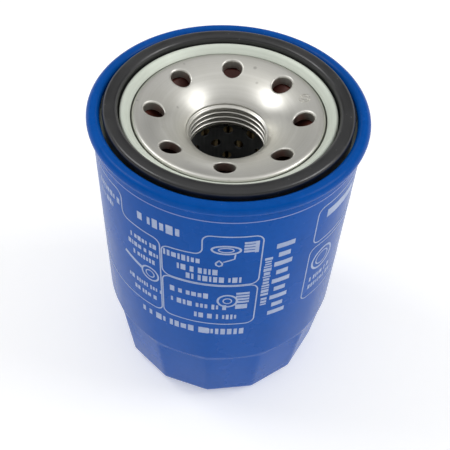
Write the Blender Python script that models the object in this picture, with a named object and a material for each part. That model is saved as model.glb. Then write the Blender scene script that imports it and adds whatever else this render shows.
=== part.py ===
"""Spin-on oil filter, built as the separate pieces that it is assembled from.

The filter stands on its closed end with the threaded end up. The origin is the centre of the closed end's
resting ring, and +Z runs along the filter's axis to the face of the rubber gasket. All lengths are in metres.

Pieces that touch on the real filter keep FIT between them, so that every piece stays its own closed solid.
Turned and drawn pieces are revolved from a profile in the (radius, height) plane. A profile of sheet metal is
the middle line of the sheet, given the sheet's thickness on both sides.
"""

import math

import bmesh
import bpy
from mathutils import Vector

# ---------------------------------------------------------------------------------------------------------
# Driving dimensions
# ---------------------------------------------------------------------------------------------------------

FIT = 0.0003

OVERALL_HEIGHT = 0.0860
CAN_RADIUS = 0.03175
CAN_SHEET = 0.0006
CAN_CORNER_RADIUS = 0.0050
CAN_PANEL_RADIUS = 0.0160
CAN_PANEL_LIFT = 0.0015

FLUTE_COUNT = 14
FLUTE_TOP = 0.0245
FLUTE_TAPER = 0.00195
FLUTE_LEDGE = 0.0008
FLUTE_PHASE = math.radians(9.3)

SEAM_PROUD = 0.00115
SEAM_BEAD_RADIUS = 0.00155
SEAM_RISE = 0.00025
GASKET_PROUD = 0.0024
GASKET_WIDTH = 0.0035
GASKET_HEIGHT = 0.0048
GASKET_SIDE_GAP = 0.00115
GASKET_EDGE_RADIUS = 0.0010

LID_SHEET = 0.0005
LID_RIB_WIDTH = 0.0021
LID_RIB_HEIGHT = 0.0015
LID_LIP_DROP = 0.0008

PLATE_SHEET = 0.0024
PLATE_CROWN_DROP = 0.0002
PLATE_CROWN_OUTSET = 0.0007
PLATE_MOUTH_SLOPE = math.radians(51.92)
PLATE_STEP_WIDTH = 0.0009
PLATE_STEP_OFFSET = 0.0015
PLATE_EDGE_RADIUS = 0.0008
PLATE_RIM_CLEARANCE = 0.0007
INLET_COUNT = 8
INLET_DIAMETER = 0.0048
INLET_INSET = 0.0006
INLET_PHASE = math.radians(-0.7)
NECK_LENGTH = 0.0051
NECK_WALL = 0.0024
NECK_ROOT_RADIUS = 0.0008

THREAD_MAJOR_DIAMETER = 0.0200
THREAD_PITCH = 0.0015

VALVE_COLLAR_WALL = 0.0022
VALVE_ROOT_CLEARANCE = 0.00055
VALVE_LIP_THICKNESS = 0.0009
VALVE_LIP_CLEARANCE = 0.0004

CAP_SHEET = 0.0005
CAP_CLEARANCE = 0.0021
CAP_SKIRT = 0.0040
CAP_HOLE_COLLAR = 0.0014
BOND_THICKNESS = 0.0009

TUBE_INNER_RADIUS = 0.0116
TUBE_SHEET = 0.0005
TUBE_HOLE_DIAMETER = 0.0026
TUBE_HOLES_PER_ROW = 12
TUBE_ROWS = 4

ELEMENT_LIFT = 0.0120
PLEAT_COUNT = 40
PAPER_THICKNESS = 0.0005
PLEAT_TIP_WIDTH = 0.0009
PLEAT_ROOT_WIDTH = 0.0007
CLIP_SHEET = 0.0004
CLIP_DEPTH = 0.0045
CLIP_SIDE_CLEARANCE = 0.0004

BYPASS_SEAT_RISE = 0.0009
BYPASS_SEAL_THICKNESS = 0.0010
BYPASS_SEAL_OVERLAP = 0.0022
BYPASS_DISC_CLEARANCE = 0.0011
BYPASS_DISC_THICKNESS = 0.0008
BYPASS_HUB_CLEARANCE = 0.0023
BYPASS_STEM_RADIUS = 0.0015
BYPASS_STEM_GUIDE_CLEARANCE = 0.0003
BYPASS_TRAVEL = 0.0030
STEM_END = 0.0016
CAGE_SHEET = 0.0006
CAGE_FLANGE_WIDTH = 0.0017
CAGE_HEIGHT = 0.0136
CAGE_WINDOWS = 3
CAGE_WINDOW_WIDTH = 0.0090
CAGE_WINDOW_HEIGHT = 0.0080
BYPASS_SPRING_RADIUS = 0.0050
BYPASS_SPRING_WIRE = 0.0010
BYPASS_SPRING_TURNS = 5.0

ELEMENT_SPRING_WIRE = 0.0016
ELEMENT_SPRING_TURNS = 3.5

CAN_STEPS = 3 * FLUTE_COUNT
TURNED_STEPS = 28
SMALL_STEPS = 20
THREAD_STEPS = 20
DISH_STEPS = 8
ARC_STEP = math.radians(45)

# ---------------------------------------------------------------------------------------------------------
# Sizes that follow from the driving dimensions
# ---------------------------------------------------------------------------------------------------------

BEAD_HEIGHT = OVERALL_HEIGHT - GASKET_PROUD
BEAD_CENTRE_RADIUS = CAN_RADIUS + SEAM_PROUD - SEAM_BEAD_RADIUS
CAN_INNER_RADIUS = CAN_RADIUS - CAN_SHEET
FOOT_RADIUS = CAN_RADIUS - FLUTE_TAPER - CAN_CORNER_RADIUS
PANEL_EDGE_RADIUS = CAN_PANEL_RADIUS + CAN_PANEL_LIFT

LID_OUTER_WALL = CAN_INNER_RADIUS - FIT - LID_SHEET / 2
GASKET_OUTER_RADIUS = LID_OUTER_WALL - LID_SHEET / 2 - GASKET_SIDE_GAP
GASKET_INNER_RADIUS = GASKET_OUTER_RADIUS - GASKET_WIDTH
GASKET_BOTTOM = OVERALL_HEIGHT - GASKET_HEIGHT
LID_FLOOR = GASKET_BOTTOM - FIT - LID_SHEET / 2
LID_INNER_WALL = GASKET_INNER_RADIUS - FIT - LID_SHEET / 2
LID_CREST = BEAD_HEIGHT + LID_RIB_HEIGHT - LID_SHEET / 2

PLATE_FLANGE_TOP = LID_FLOOR - LID_SHEET / 2 - FIT
PLATE_OUTER_RADIUS = CAN_INNER_RADIUS - PLATE_RIM_CLEARANCE
PLATE_SHOULDER = LID_INNER_WALL - LID_RIB_WIDTH - LID_SHEET / 2 - FIT
PLATE_UNDER_SHOULDER = PLATE_SHOULDER - PLATE_STEP_OFFSET
PLATE_CROWN = BEAD_HEIGHT - PLATE_CROWN_DROP
PLATE_CROWN_RADIUS = PLATE_SHOULDER + PLATE_CROWN_OUTSET

THREAD_MINOR_RADIUS = THREAD_MAJOR_DIAMETER / 2 - 0.5413 * THREAD_PITCH
NECK_OUTER_RADIUS = THREAD_MINOR_RADIUS + NECK_WALL
PLATE_DISH_RADIUS = (PLATE_CROWN_RADIUS - THREAD_MINOR_RADIUS) / math.sin(PLATE_MOUTH_SLOPE)
MOUTH_HEIGHT = PLATE_CROWN - PLATE_DISH_RADIUS * (1 - math.cos(PLATE_MOUTH_SLOPE))
NECK_BOTTOM = MOUTH_HEIGHT - NECK_LENGTH

VALVE_BOTTOM = NECK_BOTTOM - FIT
VALVE_COLLAR_INNER = NECK_OUTER_RADIUS + FIT
VALVE_COLLAR_OUTER = VALVE_COLLAR_INNER + VALVE_COLLAR_WALL
VALVE_LIP_RADIUS = PLATE_UNDER_SHOULDER - VALVE_LIP_CLEARANCE
INLET_CIRCLE_RADIUS = (VALVE_COLLAR_OUTER + PLATE_SHOULDER) / 2 - INLET_INSET

FLAT_INNER_RADIUS = (CAN_INNER_RADIUS - FLUTE_TAPER) * math.cos(math.pi / FLUTE_COUNT)
CAP_RADIUS = FLAT_INNER_RADIUS - CAP_CLEARANCE
UPPER_CAP_MIDDLE = VALVE_BOTTOM - FIT - CAP_SHEET / 2
LOWER_CAP_MIDDLE = ELEMENT_LIFT + CAP_SHEET / 2
UPPER_BOND_TOP = UPPER_CAP_MIDDLE - CAP_SHEET / 2 - FIT
LOWER_BOND_BOTTOM = LOWER_CAP_MIDDLE + CAP_SHEET / 2 + FIT
MEDIA_TOP = UPPER_BOND_TOP - BOND_THICKNESS - FIT
MEDIA_BOTTOM = LOWER_BOND_BOTTOM + BOND_THICKNESS + FIT
TUBE_OUTER_RADIUS = TUBE_INNER_RADIUS + TUBE_SHEET
BOND_INNER_RADIUS = TUBE_OUTER_RADIUS + FIT
BOND_OUTER_RADIUS = CAP_RADIUS - CAP_SHEET - FIT
PLEAT_INNER_RADIUS = BOND_INNER_RADIUS + PAPER_THICKNESS
PLEAT_OUTER_RADIUS = BOND_OUTER_RADIUS - PAPER_THICKNESS
CAP_HOLE_RADIUS = TUBE_INNER_RADIUS - FIT - CAP_SHEET / 2

CAGE_FLANGE_RADIUS = TUBE_INNER_RADIUS - FIT
CAGE_WALL_RADIUS = CAGE_FLANGE_RADIUS - CAGE_FLANGE_WIDTH
BYPASS_DISC_RADIUS = CAGE_WALL_RADIUS - CAGE_SHEET / 2 - BYPASS_DISC_CLEARANCE
BYPASS_PORT_RADIUS = BYPASS_DISC_RADIUS - BYPASS_SEAL_OVERLAP
BYPASS_HUB_RADIUS = BYPASS_PORT_RADIUS - BYPASS_HUB_CLEARANCE
SEAT_TOP = LOWER_CAP_MIDDLE + CAP_SHEET / 2 + BYPASS_SEAT_RISE
SEAL_BOTTOM = SEAT_TOP + FIT
DISC_BOTTOM = SEAL_BOTTOM + BYPASS_SEAL_THICKNESS + FIT
DISC_TOP = DISC_BOTTOM + BYPASS_DISC_THICKNESS
CAGE_BOTTOM = LOWER_CAP_MIDDLE + CAP_SHEET / 2 + FIT
CAGE_TOP = CAGE_BOTTOM + CAGE_HEIGHT
STEM_TOP = CAGE_TOP + STEM_END + BYPASS_TRAVEL
ELEMENT_SPRING_RADIUS = (FOOT_RADIUS + PANEL_EDGE_RADIUS) / 2


# ---------------------------------------------------------------------------------------------------------
# Profiles
# ---------------------------------------------------------------------------------------------------------


def arc(centre, radius, start, end):
    """Points of a circular arc about centre, both ends included, a step of at most ARC_STEP apart."""
    steps = max(1, math.ceil(abs(end - start) / ARC_STEP))
    angles = [start + (end - start) * i / steps for i in range(steps + 1)]
    return [(centre[0] + radius * math.cos(a), centre[1] + radius * math.sin(a)) for a in angles]


def rounded(corners):
    """An open outline from (radius, height, fillet) corners, each fillet drawn as a true arc."""
    line = [corners[0][:2]]
    for before, corner, after in zip(corners, corners[1:], corners[2:]):
        here = Vector(corner[:2])
        back = (Vector(before[:2]) - here).normalized()
        on = (Vector(after[:2]) - here).normalized()
        half = back.angle(on) / 2
        if corner[2] == 0:
            line.append(tuple(here))
            continue
        centre = here + (back + on).normalized() * (corner[2] / math.sin(half))
        reach = corner[2] / math.tan(half)
        first = here + back * reach - centre
        turn = first.angle_signed(here + on * reach - centre)
        start = math.atan2(first.y, first.x)
        line += arc(centre, corner[2], start, start - turn)
    line.append(corners[-1][:2])
    return line


def sheet(line, thickness):
    """A closed loop around a middle line, half the thickness to each side, with mitred corners."""
    points = [Vector(point) for point in line]
    runs = [(b - a).normalized() for a, b in zip(points, points[1:])]
    sides = [Vector((-run.y, run.x)) for run in runs]
    near, far = [], []
    for index, point in enumerate(points):
        before = sides[max(index - 1, 0)]
        after = sides[min(index, len(sides) - 1)]
        mitre = (before + after).normalized()
        mitre *= thickness / 2 / mitre.dot(before)
        near.append(tuple(point + mitre))
        far.append(tuple(point - mitre))
    return near + far[::-1]


# ---------------------------------------------------------------------------------------------------------
# Meshes
# ---------------------------------------------------------------------------------------------------------


def finish(name, mesh, surface):
    """Turns the bmesh into a smooth-shaded object of that name, with its faces outwards."""
    bmesh.ops.recalc_face_normals(mesh, faces=mesh.faces)
    data = bpy.data.meshes.new(name)
    mesh.to_mesh(data)
    mesh.free()
    data.materials.append(surface)
    data.shade_smooth()
    data.set_sharp_from_angle(angle=math.radians(35))
    piece = bpy.data.objects.new(name, data)
    bpy.context.collection.objects.link(piece)
    return piece


def revolve(name, loop, surface, steps=TURNED_STEPS, shape=None):
    """Revolves a closed (radius, height) loop about Z. shape(radius, height, angle) may bend the radius."""
    mesh = bmesh.new()
    rings = []
    for radius, height in loop:
        if radius < 1e-7:
            rings.append([mesh.verts.new((0, 0, height))])
            continue
        ring = []
        for step in range(steps):
            angle = 2 * math.pi * step / steps + (FLUTE_PHASE if shape else 0)
            reach = shape(radius, height, angle) if shape else radius
            ring.append(mesh.verts.new((reach * math.cos(angle), reach * math.sin(angle), height)))
        rings.append(ring)
    for one, two in zip(rings, rings[1:] + rings[:1]):
        for step in range(max(len(one), len(two)) if len(one) + len(two) > 2 else 0):
            on = (step + 1) % steps
            corners = [one[step % len(one)], one[on % len(one)], two[on % len(two)], two[step % len(two)]]
            mesh.faces.new(list(dict.fromkeys(corners)))
    return finish(name, mesh, surface)


def tube_along(mesh, centres, outline):
    """Joins copies of a closed outline, one (across, up) list at each centre (angle, height), with end caps."""
    rings = []
    for angle, height in centres:
        ring = []
        for radius, rise in outline:
            ring.append(mesh.verts.new((radius * math.cos(angle), radius * math.sin(angle), height + rise)))
        rings.append(ring)
    for one, two in zip(rings, rings[1:]):
        for side in range(len(outline)):
            on = (side + 1) % len(outline)
            mesh.faces.new([one[side], one[on], two[on], two[side]])
    mesh.faces.new(rings[0])
    mesh.faces.new(rings[-1])


def coil(name, radius, wire, bottom, top, turns, surface, steps=14, sides=5):
    """A compression spring with one closed turn at each end."""
    closed_pitch = wire * 1.15
    open_pitch = (top - bottom - wire - 2 * closed_pitch) / (turns - 2)
    centres = []
    for step in range(round(turns * steps) + 1):
        turn = step / steps
        opened = min(max(turn - 1, 0), turns - 2)
        shut = turn - opened
        centres.append((2 * math.pi * turn, bottom + wire / 2 + shut * closed_pitch + opened * open_pitch))
    outline = []
    for side in range(sides):
        angle = 2 * math.pi * side / sides
        outline.append((radius + wire / 2 * math.cos(angle), wire / 2 * math.sin(angle)))
    mesh = bmesh.new()
    tube_along(mesh, centres, outline)
    return finish(name, mesh, surface)


def prism(mesh, outline, bottom, top):
    """A closed prism over an (x, y) outline."""
    low = [mesh.verts.new((x, y, bottom)) for x, y in outline]
    high = [mesh.verts.new((x, y, top)) for x, y in outline]
    for side in range(len(outline)):
        on = (side + 1) % len(outline)
        mesh.faces.new([low[side], low[on], high[on], high[side]])
    mesh.faces.new(low[::-1])
    mesh.faces.new(high)


def cut(piece, cutter):
    """Takes the cutter's shape out of the piece."""
    cutter.hide_render = True
    cutter.display_type = "WIRE"
    modifier = piece.modifiers.new(cutter.name, "BOOLEAN")
    modifier.operation = "DIFFERENCE"
    modifier.solver = "EXACT"
    modifier.object = cutter


def material(name, colour, roughness, metallic):
    """A Principled material."""
    made = bpy.data.materials.new(name)
    made.use_nodes = True
    shader = made.node_tree.nodes["Principled BSDF"]
    shader.inputs["Base Color"].default_value = (*colour, 1)
    shader.inputs["Roughness"].default_value = roughness
    shader.inputs["Metallic"].default_value = metallic
    return made


# ---------------------------------------------------------------------------------------------------------
# The pieces of the housing
# ---------------------------------------------------------------------------------------------------------


def fluted(radius, height, angle):
    """Draws the round wall in to FLUTE_COUNT flats below the ledge. The flats fade out under the can."""
    if height > FLUTE_TOP or radius < (PANEL_EDGE_RADIUS + FOOT_RADIUS) / 2:
        return radius
    pitch = 2 * math.pi / FLUTE_COUNT
    from_corner = (angle - FLUTE_PHASE) % pitch
    return radius * math.cos(pitch / 2) / math.cos(from_corner - pitch / 2)


def make_can(surface):
    """The drawn can: closed end with a raised panel, tapered flats, plain wall and rolled seam bead."""
    wall = CAN_RADIUS - CAN_SHEET / 2
    foot = CAN_SHEET / 2
    bead = SEAM_BEAD_RADIUS - CAN_SHEET / 2
    bead_middle = BEAD_HEIGHT + SEAM_RISE
    bead_start = -math.acos((wall - BEAD_CENTRE_RADIUS) / bead)
    corners = [
        (0, foot + CAN_PANEL_LIFT, 0),
        (CAN_PANEL_RADIUS - CAN_PANEL_LIFT / 2, foot + CAN_PANEL_LIFT, 0.0008),
        (CAN_PANEL_RADIUS + CAN_PANEL_LIFT / 2, foot, 0.0008),
        (wall - FLUTE_TAPER - FLUTE_TAPER / 4, foot, CAN_CORNER_RADIUS - CAN_SHEET / 2),
        (wall, FLUTE_TOP - FLUTE_LEDGE / 2, 0),
        (wall, FLUTE_TOP + FLUTE_LEDGE / 2, 0),
        (wall, bead_middle + bead * math.sin(bead_start), 0),
    ]
    curl = arc((BEAD_CENTRE_RADIUS, bead_middle), bead, bead_start, math.pi)
    return revolve("can_shell", sheet(rounded(corners) + curl[1:], CAN_SHEET), surface, CAN_STEPS, fluted)


def make_lid(surface):
    """The seaming lid: an inner lip over the base plate, a raised rib and the channel that holds the gasket."""
    lip = LID_INNER_WALL - LID_RIB_WIDTH
    corners = [
        (lip, BEAD_HEIGHT - LID_LIP_DROP, 0),
        (LID_INNER_WALL, LID_CREST, 0.00035),
        (LID_INNER_WALL, LID_FLOOR, 0.0005),
        (LID_OUTER_WALL, LID_FLOOR, 0.0005),
        (LID_OUTER_WALL, BEAD_HEIGHT - FIT, 0),
    ]
    return revolve("seaming_lid", sheet(rounded(corners), LID_SHEET), surface)


def dish(radius, depth=0.0):
    """The height of the plate's dished face at a radius, depth below its upper side."""
    reach = PLATE_DISH_RADIUS - depth
    return PLATE_CROWN - PLATE_DISH_RADIUS + math.sqrt(reach**2 - (PLATE_CROWN_RADIUS - radius) ** 2)


def dished(inner, outer, depth=0.0):
    """Corners of the dished face between two radii, both included."""
    radii = [inner + (outer - inner) * step / DISH_STEPS for step in range(DISH_STEPS + 1)]
    return [(radius, dish(radius, depth), 0) for radius in radii]


def make_thread_cutter():
    """The groove of the internal thread: a 60 degree helix that runs out past both ends of the neck."""
    root = THREAD_MAJOR_DIAMETER / 2
    inside = THREAD_MINOR_RADIUS - THREAD_PITCH / 6
    flat = THREAD_PITCH / 16
    mouth = flat + (root - inside) * math.tan(math.radians(30))
    outline = [(inside, -mouth), (root, -flat), (root, flat), (inside, mouth)]
    bottom = NECK_BOTTOM - THREAD_PITCH
    turns = math.ceil((dish(root) - NECK_BOTTOM) / THREAD_PITCH) + 2
    centres = []
    for step in range(turns * THREAD_STEPS + 1):
        turn = step / THREAD_STEPS
        centres.append((2 * math.pi * turn, bottom + turn * THREAD_PITCH))
    mesh = bmesh.new()
    tube_along(mesh, centres, outline)
    return finish("thread_cutter", mesh, None)


def make_inlet_cutter():
    """The row of round inlet holes through the base plate."""
    mesh = bmesh.new()
    for index in range(INLET_COUNT):
        angle = INLET_PHASE + 2 * math.pi * index / INLET_COUNT
        x = INLET_CIRCLE_RADIUS * math.cos(angle)
        y = INLET_CIRCLE_RADIUS * math.sin(angle)
        outline = arc((x, y), INLET_DIAMETER / 2, 0, 2 * math.pi)[:-1]
        prism(mesh, outline, PLATE_FLANGE_TOP - 2 * PLATE_SHEET, PLATE_CROWN + PLATE_SHEET)
    return finish("inlet_cutter", mesh, None)


def make_base_plate(surface):
    """The base plate: a flange under the lid, a dished face with the inlet holes, and a drawn neck that is tapped."""
    top = dished(THREAD_MINOR_RADIUS, PLATE_SHOULDER)
    top[-1] = (*top[-1][:2], PLATE_EDGE_RADIUS)
    under = dished(NECK_OUTER_RADIUS, PLATE_UNDER_SHOULDER, PLATE_SHEET)
    under[0] = (*under[0][:2], NECK_ROOT_RADIUS)
    top = [
        (THREAD_MINOR_RADIUS, NECK_BOTTOM, 0),
        *top,
        (PLATE_SHOULDER + PLATE_STEP_WIDTH, PLATE_FLANGE_TOP, 0),
        (PLATE_OUTER_RADIUS, PLATE_FLANGE_TOP, 0),
    ]
    under = [
        (NECK_OUTER_RADIUS, NECK_BOTTOM, 0),
        *under,
        (PLATE_UNDER_SHOULDER + PLATE_STEP_WIDTH, PLATE_FLANGE_TOP - PLATE_SHEET, 0),
        (PLATE_OUTER_RADIUS, PLATE_FLANGE_TOP - PLATE_SHEET, 0),
    ]
    plate = revolve("base_plate", rounded(top) + rounded(under)[::-1], surface)
    cut(plate, make_inlet_cutter())
    cut(plate, make_thread_cutter())
    return plate


def make_gasket(surface):
    """The square-cut rubber gasket that seals against the engine."""
    edge = GASKET_EDGE_RADIUS
    corners = [
        (GASKET_INNER_RADIUS, GASKET_BOTTOM, 0),
        (GASKET_INNER_RADIUS, OVERALL_HEIGHT, edge),
        (GASKET_OUTER_RADIUS, OVERALL_HEIGHT, edge),
        (GASKET_OUTER_RADIUS, GASKET_BOTTOM, 0),
    ]
    return revolve("face_gasket", rounded(corners), surface)


def make_drainback_valve(surface):
    """The rubber anti-drainback valve: a collar around the neck, and a lip that closes behind the inlets."""
    lip_top = dish(VALVE_LIP_RADIUS - VALVE_LIP_THICKNESS, PLATE_SHEET) - FIT
    root = dish(VALVE_COLLAR_INNER, PLATE_SHEET) - VALVE_ROOT_CLEARANCE
    loop = [
        (VALVE_COLLAR_INNER, VALVE_BOTTOM),
        (VALVE_COLLAR_OUTER, VALVE_BOTTOM),
        (VALVE_COLLAR_OUTER, root - 3 * VALVE_LIP_THICKNESS),
        (VALVE_LIP_RADIUS, lip_top - VALVE_LIP_THICKNESS),
        (VALVE_LIP_RADIUS, lip_top),
        (VALVE_LIP_RADIUS - VALVE_LIP_THICKNESS, lip_top),
        (VALVE_COLLAR_OUTER, root - VALVE_LIP_THICKNESS),
        (VALVE_COLLAR_INNER, root),
    ]
    return revolve("anti_drainback_valve", loop, surface)


# ---------------------------------------------------------------------------------------------------------
# The pieces of the filter element
# ---------------------------------------------------------------------------------------------------------


def make_upper_cap(surface):
    """The element's upper end cap, with a short collar inside the centre tube."""
    skirt = CAP_RADIUS - CAP_SHEET / 2
    corners = [
        (CAP_HOLE_RADIUS, UPPER_CAP_MIDDLE - CAP_HOLE_COLLAR, 0),
        (CAP_HOLE_RADIUS, UPPER_CAP_MIDDLE, 0.0005),
        (skirt, UPPER_CAP_MIDDLE, 0.0008),
        (skirt, UPPER_CAP_MIDDLE - CAP_SKIRT, 0),
    ]
    return revolve("upper_end_cap", sheet(rounded(corners), CAP_SHEET), surface)


def make_lower_cap(surface):
    """The element's lower end cap, whose centre hole is turned up as the bypass valve's seat."""
    skirt = CAP_RADIUS - CAP_SHEET / 2
    seat = BYPASS_PORT_RADIUS + CAP_SHEET / 2
    corners = [
        (seat, SEAT_TOP, 0),
        (seat, LOWER_CAP_MIDDLE, 0.0004),
        (skirt, LOWER_CAP_MIDDLE, 0.0008),
        (skirt, LOWER_CAP_MIDDLE + CAP_SKIRT, 0),
    ]
    return revolve("lower_end_cap", sheet(rounded(corners), CAP_SHEET), surface)


def make_bond(name, bottom, surface):
    """A ring of set adhesive that bonds the paper to an end cap."""
    top = bottom + BOND_THICKNESS
    loop = [
        (BOND_INNER_RADIUS, bottom),
        (BOND_OUTER_RADIUS, bottom),
        (BOND_OUTER_RADIUS, top),
        (BOND_INNER_RADIUS, top),
    ]
    return revolve(name, loop, surface)


def pleat_outline(offset):
    """The (x, y) outline of the pleated paper's middle, moved out by offset. The seam pleat points to +X."""
    pitch = 2 * math.pi / PLEAT_COUNT
    tip = PLEAT_TIP_WIDTH / 2 / PLEAT_OUTER_RADIUS
    root = PLEAT_ROOT_WIDTH / 2 / PLEAT_INNER_RADIUS
    middle = []
    for pleat in range(PLEAT_COUNT):
        angle = pitch * pleat
        middle.append((PLEAT_OUTER_RADIUS, angle - tip))
        middle.append((PLEAT_OUTER_RADIUS, angle + tip))
        middle.append((PLEAT_INNER_RADIUS, angle + pitch / 2 - root))
        middle.append((PLEAT_INNER_RADIUS, angle + pitch / 2 + root))
    points = [Vector((r * math.cos(a), r * math.sin(a))) for r, a in middle]
    moved = []
    for before, point, after in zip(points[-1:] + points[:-1], points, points[1:] + points[:1]):
        one = (point - before).normalized()
        two = (after - point).normalized()
        side_one = Vector((one.y, -one.x))
        side_two = Vector((two.y, -two.x))
        mitre = (side_one + side_two).normalized()
        moved.append(point + mitre * (offset / mitre.dot(side_one)))
    return moved


def make_media(surface):
    """The pleated filter paper, a closed ring of PLEAT_COUNT folds."""
    mesh = bmesh.new()
    walls = []
    for offset in (PAPER_THICKNESS / 2, -PAPER_THICKNESS / 2):
        outline = pleat_outline(offset)
        low = [mesh.verts.new((p.x, p.y, MEDIA_BOTTOM)) for p in outline]
        high = [mesh.verts.new((p.x, p.y, MEDIA_TOP)) for p in outline]
        walls.append((low, high))
    (low_out, high_out), (low_in, high_in) = walls
    count = len(low_out)
    for side in range(count):
        on = (side + 1) % count
        mesh.faces.new([low_out[side], low_out[on], high_out[on], high_out[side]])
        mesh.faces.new([low_in[on], low_in[side], high_in[side], high_in[on]])
        mesh.faces.new([high_out[side], high_out[on], high_in[on], high_in[side]])
        mesh.faces.new([low_out[on], low_out[side], low_in[side], low_in[on]])
    return finish("pleated_media", mesh, surface)


def make_seam_clip(surface):
    """The crimped metal channel over the seam pleat, where the two ends of the paper meet."""
    inner = PLEAT_OUTER_RADIUS + PAPER_THICKNESS / 2 + FIT
    outer = inner + CLIP_SHEET
    tail = outer - CLIP_DEPTH
    near = (PLEAT_TIP_WIDTH + PAPER_THICKNESS) / 2 + CLIP_SIDE_CLEARANCE
    far = near + CLIP_SHEET
    one_side = [(inner, near), (tail, near), (tail, far), (outer, far)]
    other_side = [(x, -y) for x, y in one_side[::-1]]
    skirt = CAP_SKIRT + CAP_SHEET / 2 + FIT
    mesh = bmesh.new()
    prism(mesh, one_side + other_side, LOWER_CAP_MIDDLE + skirt, UPPER_CAP_MIDDLE - skirt)
    return finish("media_seam_clip", mesh, surface)


def make_tube_cutter():
    """Staggered rows of round holes for the centre tube."""
    mesh = bmesh.new()
    bottom = LOWER_BOND_BOTTOM
    pitch = (UPPER_BOND_TOP - bottom) / (TUBE_ROWS + 1)
    for row in range(TUBE_ROWS):
        height = UPPER_BOND_TOP - TUBE_HOLE_DIAMETER - row * pitch
        for hole in range(TUBE_HOLES_PER_ROW):
            angle = 2 * math.pi * (hole + 0.5 * (row % 2)) / TUBE_HOLES_PER_ROW
            out = Vector((math.cos(angle), math.sin(angle), 0))
            across = Vector((-out.y, out.x, 0))
            rings = []
            for reach in (TUBE_INNER_RADIUS - TUBE_SHEET, TUBE_OUTER_RADIUS + TUBE_SHEET):
                centre = out * reach + Vector((0, 0, height))
                ring = []
                for side in range(6):
                    turn = 2 * math.pi * side / 6
                    step = across * math.cos(turn) + Vector((0, 0, math.sin(turn)))
                    ring.append(mesh.verts.new(centre + step * TUBE_HOLE_DIAMETER / 2))
                rings.append(ring)
            for side in range(6):
                on = (side + 1) % 6
                mesh.faces.new([rings[0][side], rings[0][on], rings[1][on], rings[1][side]])
            mesh.faces.new(rings[0])
            mesh.faces.new(rings[1])
    return finish("tube_cutter", mesh, None)


def make_centre_tube(surface):
    """The perforated steel tube that the paper leans on."""
    loop = [
        (TUBE_INNER_RADIUS, LOWER_BOND_BOTTOM),
        (TUBE_OUTER_RADIUS, LOWER_BOND_BOTTOM),
        (TUBE_OUTER_RADIUS, UPPER_BOND_TOP),
        (TUBE_INNER_RADIUS, UPPER_BOND_TOP),
    ]
    tube = revolve("centre_tube", loop, surface, 2 * TUBE_HOLES_PER_ROW)
    cut(tube, make_tube_cutter())
    return tube


# ---------------------------------------------------------------------------------------------------------
# The bypass valve
# ---------------------------------------------------------------------------------------------------------


def make_cage(surface):
    """The cage that stands on the lower end cap, holds the spring down and guides the stem."""
    guide = BYPASS_STEM_RADIUS + BYPASS_STEM_GUIDE_CLEARANCE
    top = CAGE_TOP - CAGE_SHEET / 2
    corners = [
        (CAGE_FLANGE_RADIUS, CAGE_BOTTOM + CAGE_SHEET / 2, 0),
        (CAGE_WALL_RADIUS, CAGE_BOTTOM + CAGE_SHEET / 2, 0),
        (CAGE_WALL_RADIUS, top, 0.0008),
        (guide, top, 0),
    ]
    cage = revolve("bypass_cage", sheet(rounded(corners), CAGE_SHEET), surface, SMALL_STEPS)
    mesh = bmesh.new()
    bottom = CAGE_BOTTOM + (CAGE_HEIGHT - CAGE_WINDOW_HEIGHT) / 2
    for index in range(CAGE_WINDOWS):
        angle = 2 * math.pi * index / CAGE_WINDOWS
        out = Vector((math.cos(angle), math.sin(angle)))
        side = Vector((-out.y, out.x)) * CAGE_WINDOW_WIDTH / 2
        near = out * CAGE_WALL_RADIUS / 2
        far = out * CAGE_WALL_RADIUS * 1.5
        prism(mesh, [near - side, far - side, far + side, near + side], bottom, bottom + CAGE_WINDOW_HEIGHT)
    cut(cage, finish("cage_cutter", mesh, None))
    return cage


def make_poppet(surface):
    """The bypass poppet: a hub that centres the seal, the disc, and the guided stem."""
    tip = BYPASS_STEM_RADIUS / 2
    loop = [
        (0, SEAL_BOTTOM),
        (BYPASS_HUB_RADIUS, SEAL_BOTTOM),
        (BYPASS_HUB_RADIUS, DISC_BOTTOM),
        (BYPASS_DISC_RADIUS, DISC_BOTTOM),
        (BYPASS_DISC_RADIUS, DISC_TOP),
        (BYPASS_STEM_RADIUS, DISC_TOP),
        (BYPASS_STEM_RADIUS, STEM_TOP - tip),
        (tip, STEM_TOP),
        (0, STEM_TOP),
    ]
    return revolve("bypass_poppet", loop, surface, SMALL_STEPS)


def make_seal(surface):
    """The rubber washer under the poppet's disc."""
    loop = [
        (BYPASS_HUB_RADIUS + FIT, SEAL_BOTTOM),
        (BYPASS_DISC_RADIUS, SEAL_BOTTOM),
        (BYPASS_DISC_RADIUS, DISC_BOTTOM - FIT),
        (BYPASS_HUB_RADIUS + FIT, DISC_BOTTOM - FIT),
    ]
    return revolve("bypass_seal", loop, surface, SMALL_STEPS)


def anchor(name, height):
    """An empty on the axis, the parent of pieces that slide together."""
    empty = bpy.data.objects.new(name, None)
    empty.location = (0, 0, height)
    bpy.context.collection.objects.link(empty)
    return empty


def carry(parent, pieces):
    """Parents the pieces and keeps them where they are."""
    bpy.context.view_layer.update()
    for piece in pieces:
        piece.parent = parent
        piece.matrix_parent_inverse = parent.matrix_world.inverted()


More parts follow.
